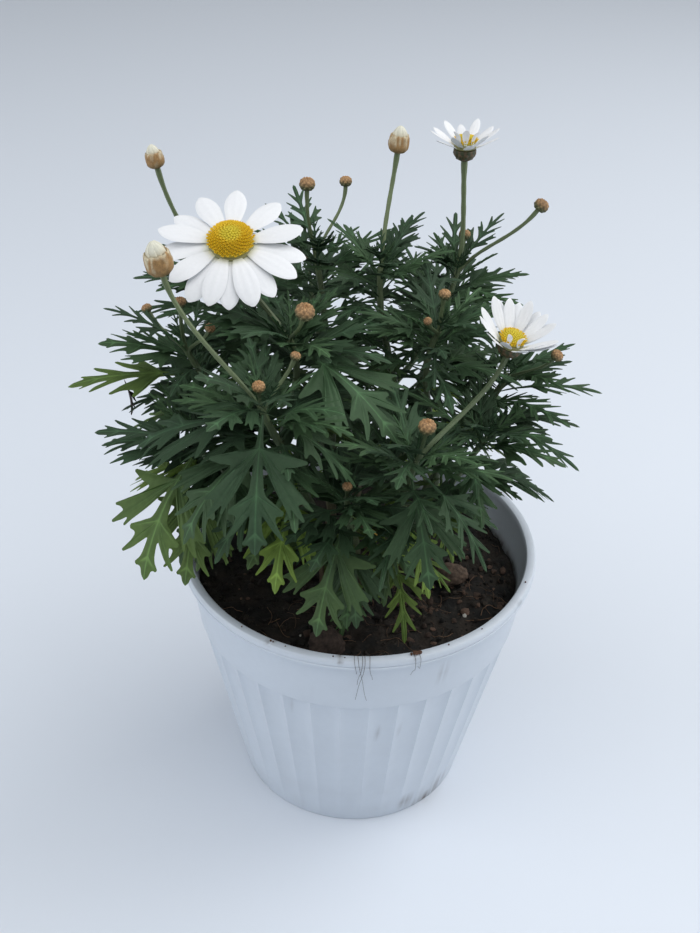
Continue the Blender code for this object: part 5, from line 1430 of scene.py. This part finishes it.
# Fibres: dark and paler brown rootlets and straws of dry plant that lie loose on the soil. Each is a thin
# rod bent along an arc, a little off the surface between its ends.
FIBRES = 110
FIBRE_POINTS = 12
FIBRE_CIRCLE = 0.066
FIBRE_EDGE = 0.0700
FIBRE_BROWN = np.array((0.085, 0.052, 0.033))
fibre_rng = np.random.default_rng(111)
fibre_parts = []
for number in range(FIBRES):
    bearing = fibre_rng.uniform(-2.6, 0.9)
    reach = FIBRE_CIRCLE * math.sqrt(fibre_rng.uniform(0.05, 1))
    heading = fibre_rng.uniform(0, 2 * math.pi)
    heading = heading + fibre_rng.uniform(-90, 90) * np.linspace(0, 0.02, FIBRE_POINTS)
    step = fibre_rng.uniform(0.004, 0.016) / FIBRE_POINTS
    x = reach * math.cos(bearing) + np.cumsum(np.cos(heading)) * step
    y = reach * math.sin(bearing) + np.cumsum(np.sin(heading)) * step
    inward = np.minimum(1, FIBRE_EDGE / np.maximum(np.hypot(x, y), 1e-6))
    x, y = x * inward, y * inward
    arch = fibre_rng.uniform(0.0002, 0.0016) * np.sin(math.pi * np.linspace(0, 1, FIBRE_POINTS))
    path = np.column_stack([x, y, soil_relief(x, y) + 0.0003 + arch])
    points, triangles = rod(path, np.full(FIBRE_POINTS, fibre_rng.uniform(0.00008, 0.00019)), 5)
    brown = FIBRE_BROWN * fibre_rng.uniform(0.4, 2.0)
    fibre_parts.append((points, triangles, np.tile(brown, (len(points), 1))))
fibre_points, fibre_triangles, fibre_tint = joined(fibre_parts)
fibre_piece = shape_object("soil_fibres", fibre_points, fibre_triangles, peat, 60, fibre_tint)
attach(fibre_piece, "root")

# Flakes: flat bits of reddish bark on the soil, most of them on the right where the soil lies bare. They
# are uneven chips, and each lies loose and level.
FLAKES = 170
FLAKE_CIRCLE = 0.068
FLAKE_FLATNESS = 0.5
FLAKE_BROWN = np.array((0.072, 0.044, 0.031))
flake_rng = np.random.default_rng(121)
flake_right = flake_rng.uniform(0, 1, FLAKES) < 0.6
flake_turn = np.where(flake_right, flake_rng.uniform(-1.15, 0.35, FLAKES),
                      flake_rng.uniform(0, 2 * math.pi, FLAKES))
flake_reach = np.where(flake_right, flake_rng.uniform(0.030, 0.069, FLAKES),
                       FLAKE_CIRCLE * np.sqrt(flake_rng.uniform(0, 1, FLAKES)))
flake_size = 0.0007 + 0.0019 * flake_rng.uniform(0, 1, FLAKES) ** 2
flake_points, flake_faces, flake_places = laid_lumps(flake_turn, flake_reach, flake_size, 0.2, flake_rng)
flake_level = np.repeat(flake_places[:, 2], LUMP_CORNERS)
flake_points[:, 2] = flake_level + FLAKE_FLATNESS * (flake_points[:, 2] - flake_level)
flake_shade = np.repeat(flake_rng.uniform(0.4, 1.6, FLAKES), LUMP_CORNERS)[:, None]
flake_tint = mottled(FLAKE_BROWN * flake_shade, flake_points, 0.3, 0.0008, 122)
flake_piece = shape_object("soil_flakes", flake_points, flake_faces, peat, 50, flake_tint)
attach(flake_piece, "root")

# Specks on the lip: crumbs of soil dropped on the pot's rim when it was filled. They are peat, and lie
# loose on top of the rolled lip.
LIP_RADIUS = 0.0779
SPECK_BROWN = (0.085, 0.040, 0.024)
# Each speck: bearing in degrees and size
LIP_SPECKS = [(-117.0, 0.0006), (-116.2, 0.0004), (-112.0, 0.0003), (-97.0, 0.0005), (-93.5, 0.0003),
              (-72.0, 0.0015), (-70.7, 0.0010), (-73.4, 0.0008), (-61.0, 0.0004), (-48.0, 0.0004),
              (-128.0, 0.0004), (-20.0, 0.0005), (30.0, 0.0006), (96.0, 0.0005), (150.0, 0.0005)]
speck_turn, speck_size = np.array(LIP_SPECKS).T
speck_turn = np.radians(speck_turn)
speck_places = np.column_stack([LIP_RADIUS * np.cos(speck_turn), LIP_RADIUS * np.sin(speck_turn),
                                POT_HEIGHT + 0.45 * speck_size])
speck_points, speck_faces = scattered_lumps(speck_places, speck_size, np.random.default_rng(131))
speck_tint = mottled(SPECK_BROWN, speck_points, 0.4, 0.0006, 132)
speck_piece = shape_object("lip_specks", speck_points, speck_faces, peat, 50, speck_tint)
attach(speck_piece, "root")

# Stage: a wide pale floor of matt paint, which isn't part of the object. Window light comes from the
# upper right, and soft light from all round.
floor_mesh = bpy.data.meshes.new("table_top")
floor_mesh.from_pydata([(-4, -4, 0), (4, -4, 0), (4, 4, 0), (-4, 4, 0)], [], [(0, 1, 2, 3)])
floor = bpy.data.objects.new("table_top", floor_mesh)
bpy.context.scene.collection.objects.link(floor)
floor_finish = bpy.data.materials.new("table_paint")
floor_finish.use_nodes = True
floor_shader = floor_finish.node_tree.nodes["Principled BSDF"]
floor_shader.inputs["Base Color"].default_value = (0.70, 0.75, 0.82, 1)
floor_shader.inputs["Roughness"].default_value = 0.75
floor_mesh.materials.append(floor_finish)

LIGHTS = [("window", (1.1, 0.5, 1.2), 1.4, 12.0, (1.0, 0.99, 0.98)),
          ("sky", (0.0, -0.45, 2.1), 3.0, 34.5, (0.97, 0.98, 1.0)),
          ("left_wall", (-1.4, -0.3, 0.55), 1.2, 7.0, (0.97, 0.98, 1.0)),
          ("right_wall", (1.4, -0.5, 0.55), 1.2, 4.0, (1.0, 0.99, 0.98)),
          ("room", (0.1, -2.0, 0.7), 1.8, 1.5, (0.98, 0.99, 1.0))]
for name, place, size, power, colour in LIGHTS:
    lamp = bpy.data.lights.new(name, "AREA")
    lamp.shape = "DISK"
    lamp.size = size
    lamp.energy = power
    lamp.color = colour
    holder = bpy.data.objects.new(name, lamp)
    aim = Vector((0, 0, 0.14)) - Vector(place)
    holder.matrix_world = Matrix.Translation(place) @ aim.to_track_quat("-Z", "Y").to_matrix().to_4x4()
    bpy.context.scene.collection.objects.link(holder)

world = bpy.data.worlds.new("sky")
world.use_nodes = True
world.node_tree.nodes["Background"].inputs["Color"].default_value = (0.90, 0.95, 1.0, 1)
world.node_tree.nodes["Background"].inputs["Strength"].default_value = 0.21
bpy.context.scene.world = world
bpy.context.scene.view_settings.view_transform = "Standard"

# Camera: in front of the plant and above the flowers, looking down on them. It is rolled by about two
# degrees, and everything is in focus.
CAMERA_PLACE = (-0.0052, -0.4627, 0.4933)
CAMERA_PITCH = math.radians(35.1)
CAMERA_ROLL = math.radians(1.87)
ahead = Vector((0, math.cos(CAMERA_PITCH), -math.sin(CAMERA_PITCH)))
level_up = Vector((0, math.sin(CAMERA_PITCH), math.cos(CAMERA_PITCH)))
level_right = Vector((1, 0, 0))
right = math.cos(CAMERA_ROLL) * level_right + math.sin(CAMERA_ROLL) * level_up
upright_way = -math.sin(CAMERA_ROLL) * level_right + math.cos(CAMERA_ROLL) * level_up
lens = bpy.data.cameras.new("camera")
lens.sensor_fit = "AUTO"
lens.sensor_width = 36
lens.lens = 50
lens.dof.use_dof = False
camera = bpy.data.objects.new("camera", lens)
turned_way = Matrix((right, upright_way, -ahead)).transposed().to_4x4()
camera.matrix_world = Matrix.Translation(CAMERA_PLACE) @ turned_way
bpy.context.scene.collection.objects.link(camera)
bpy.context.scene.camera = camera
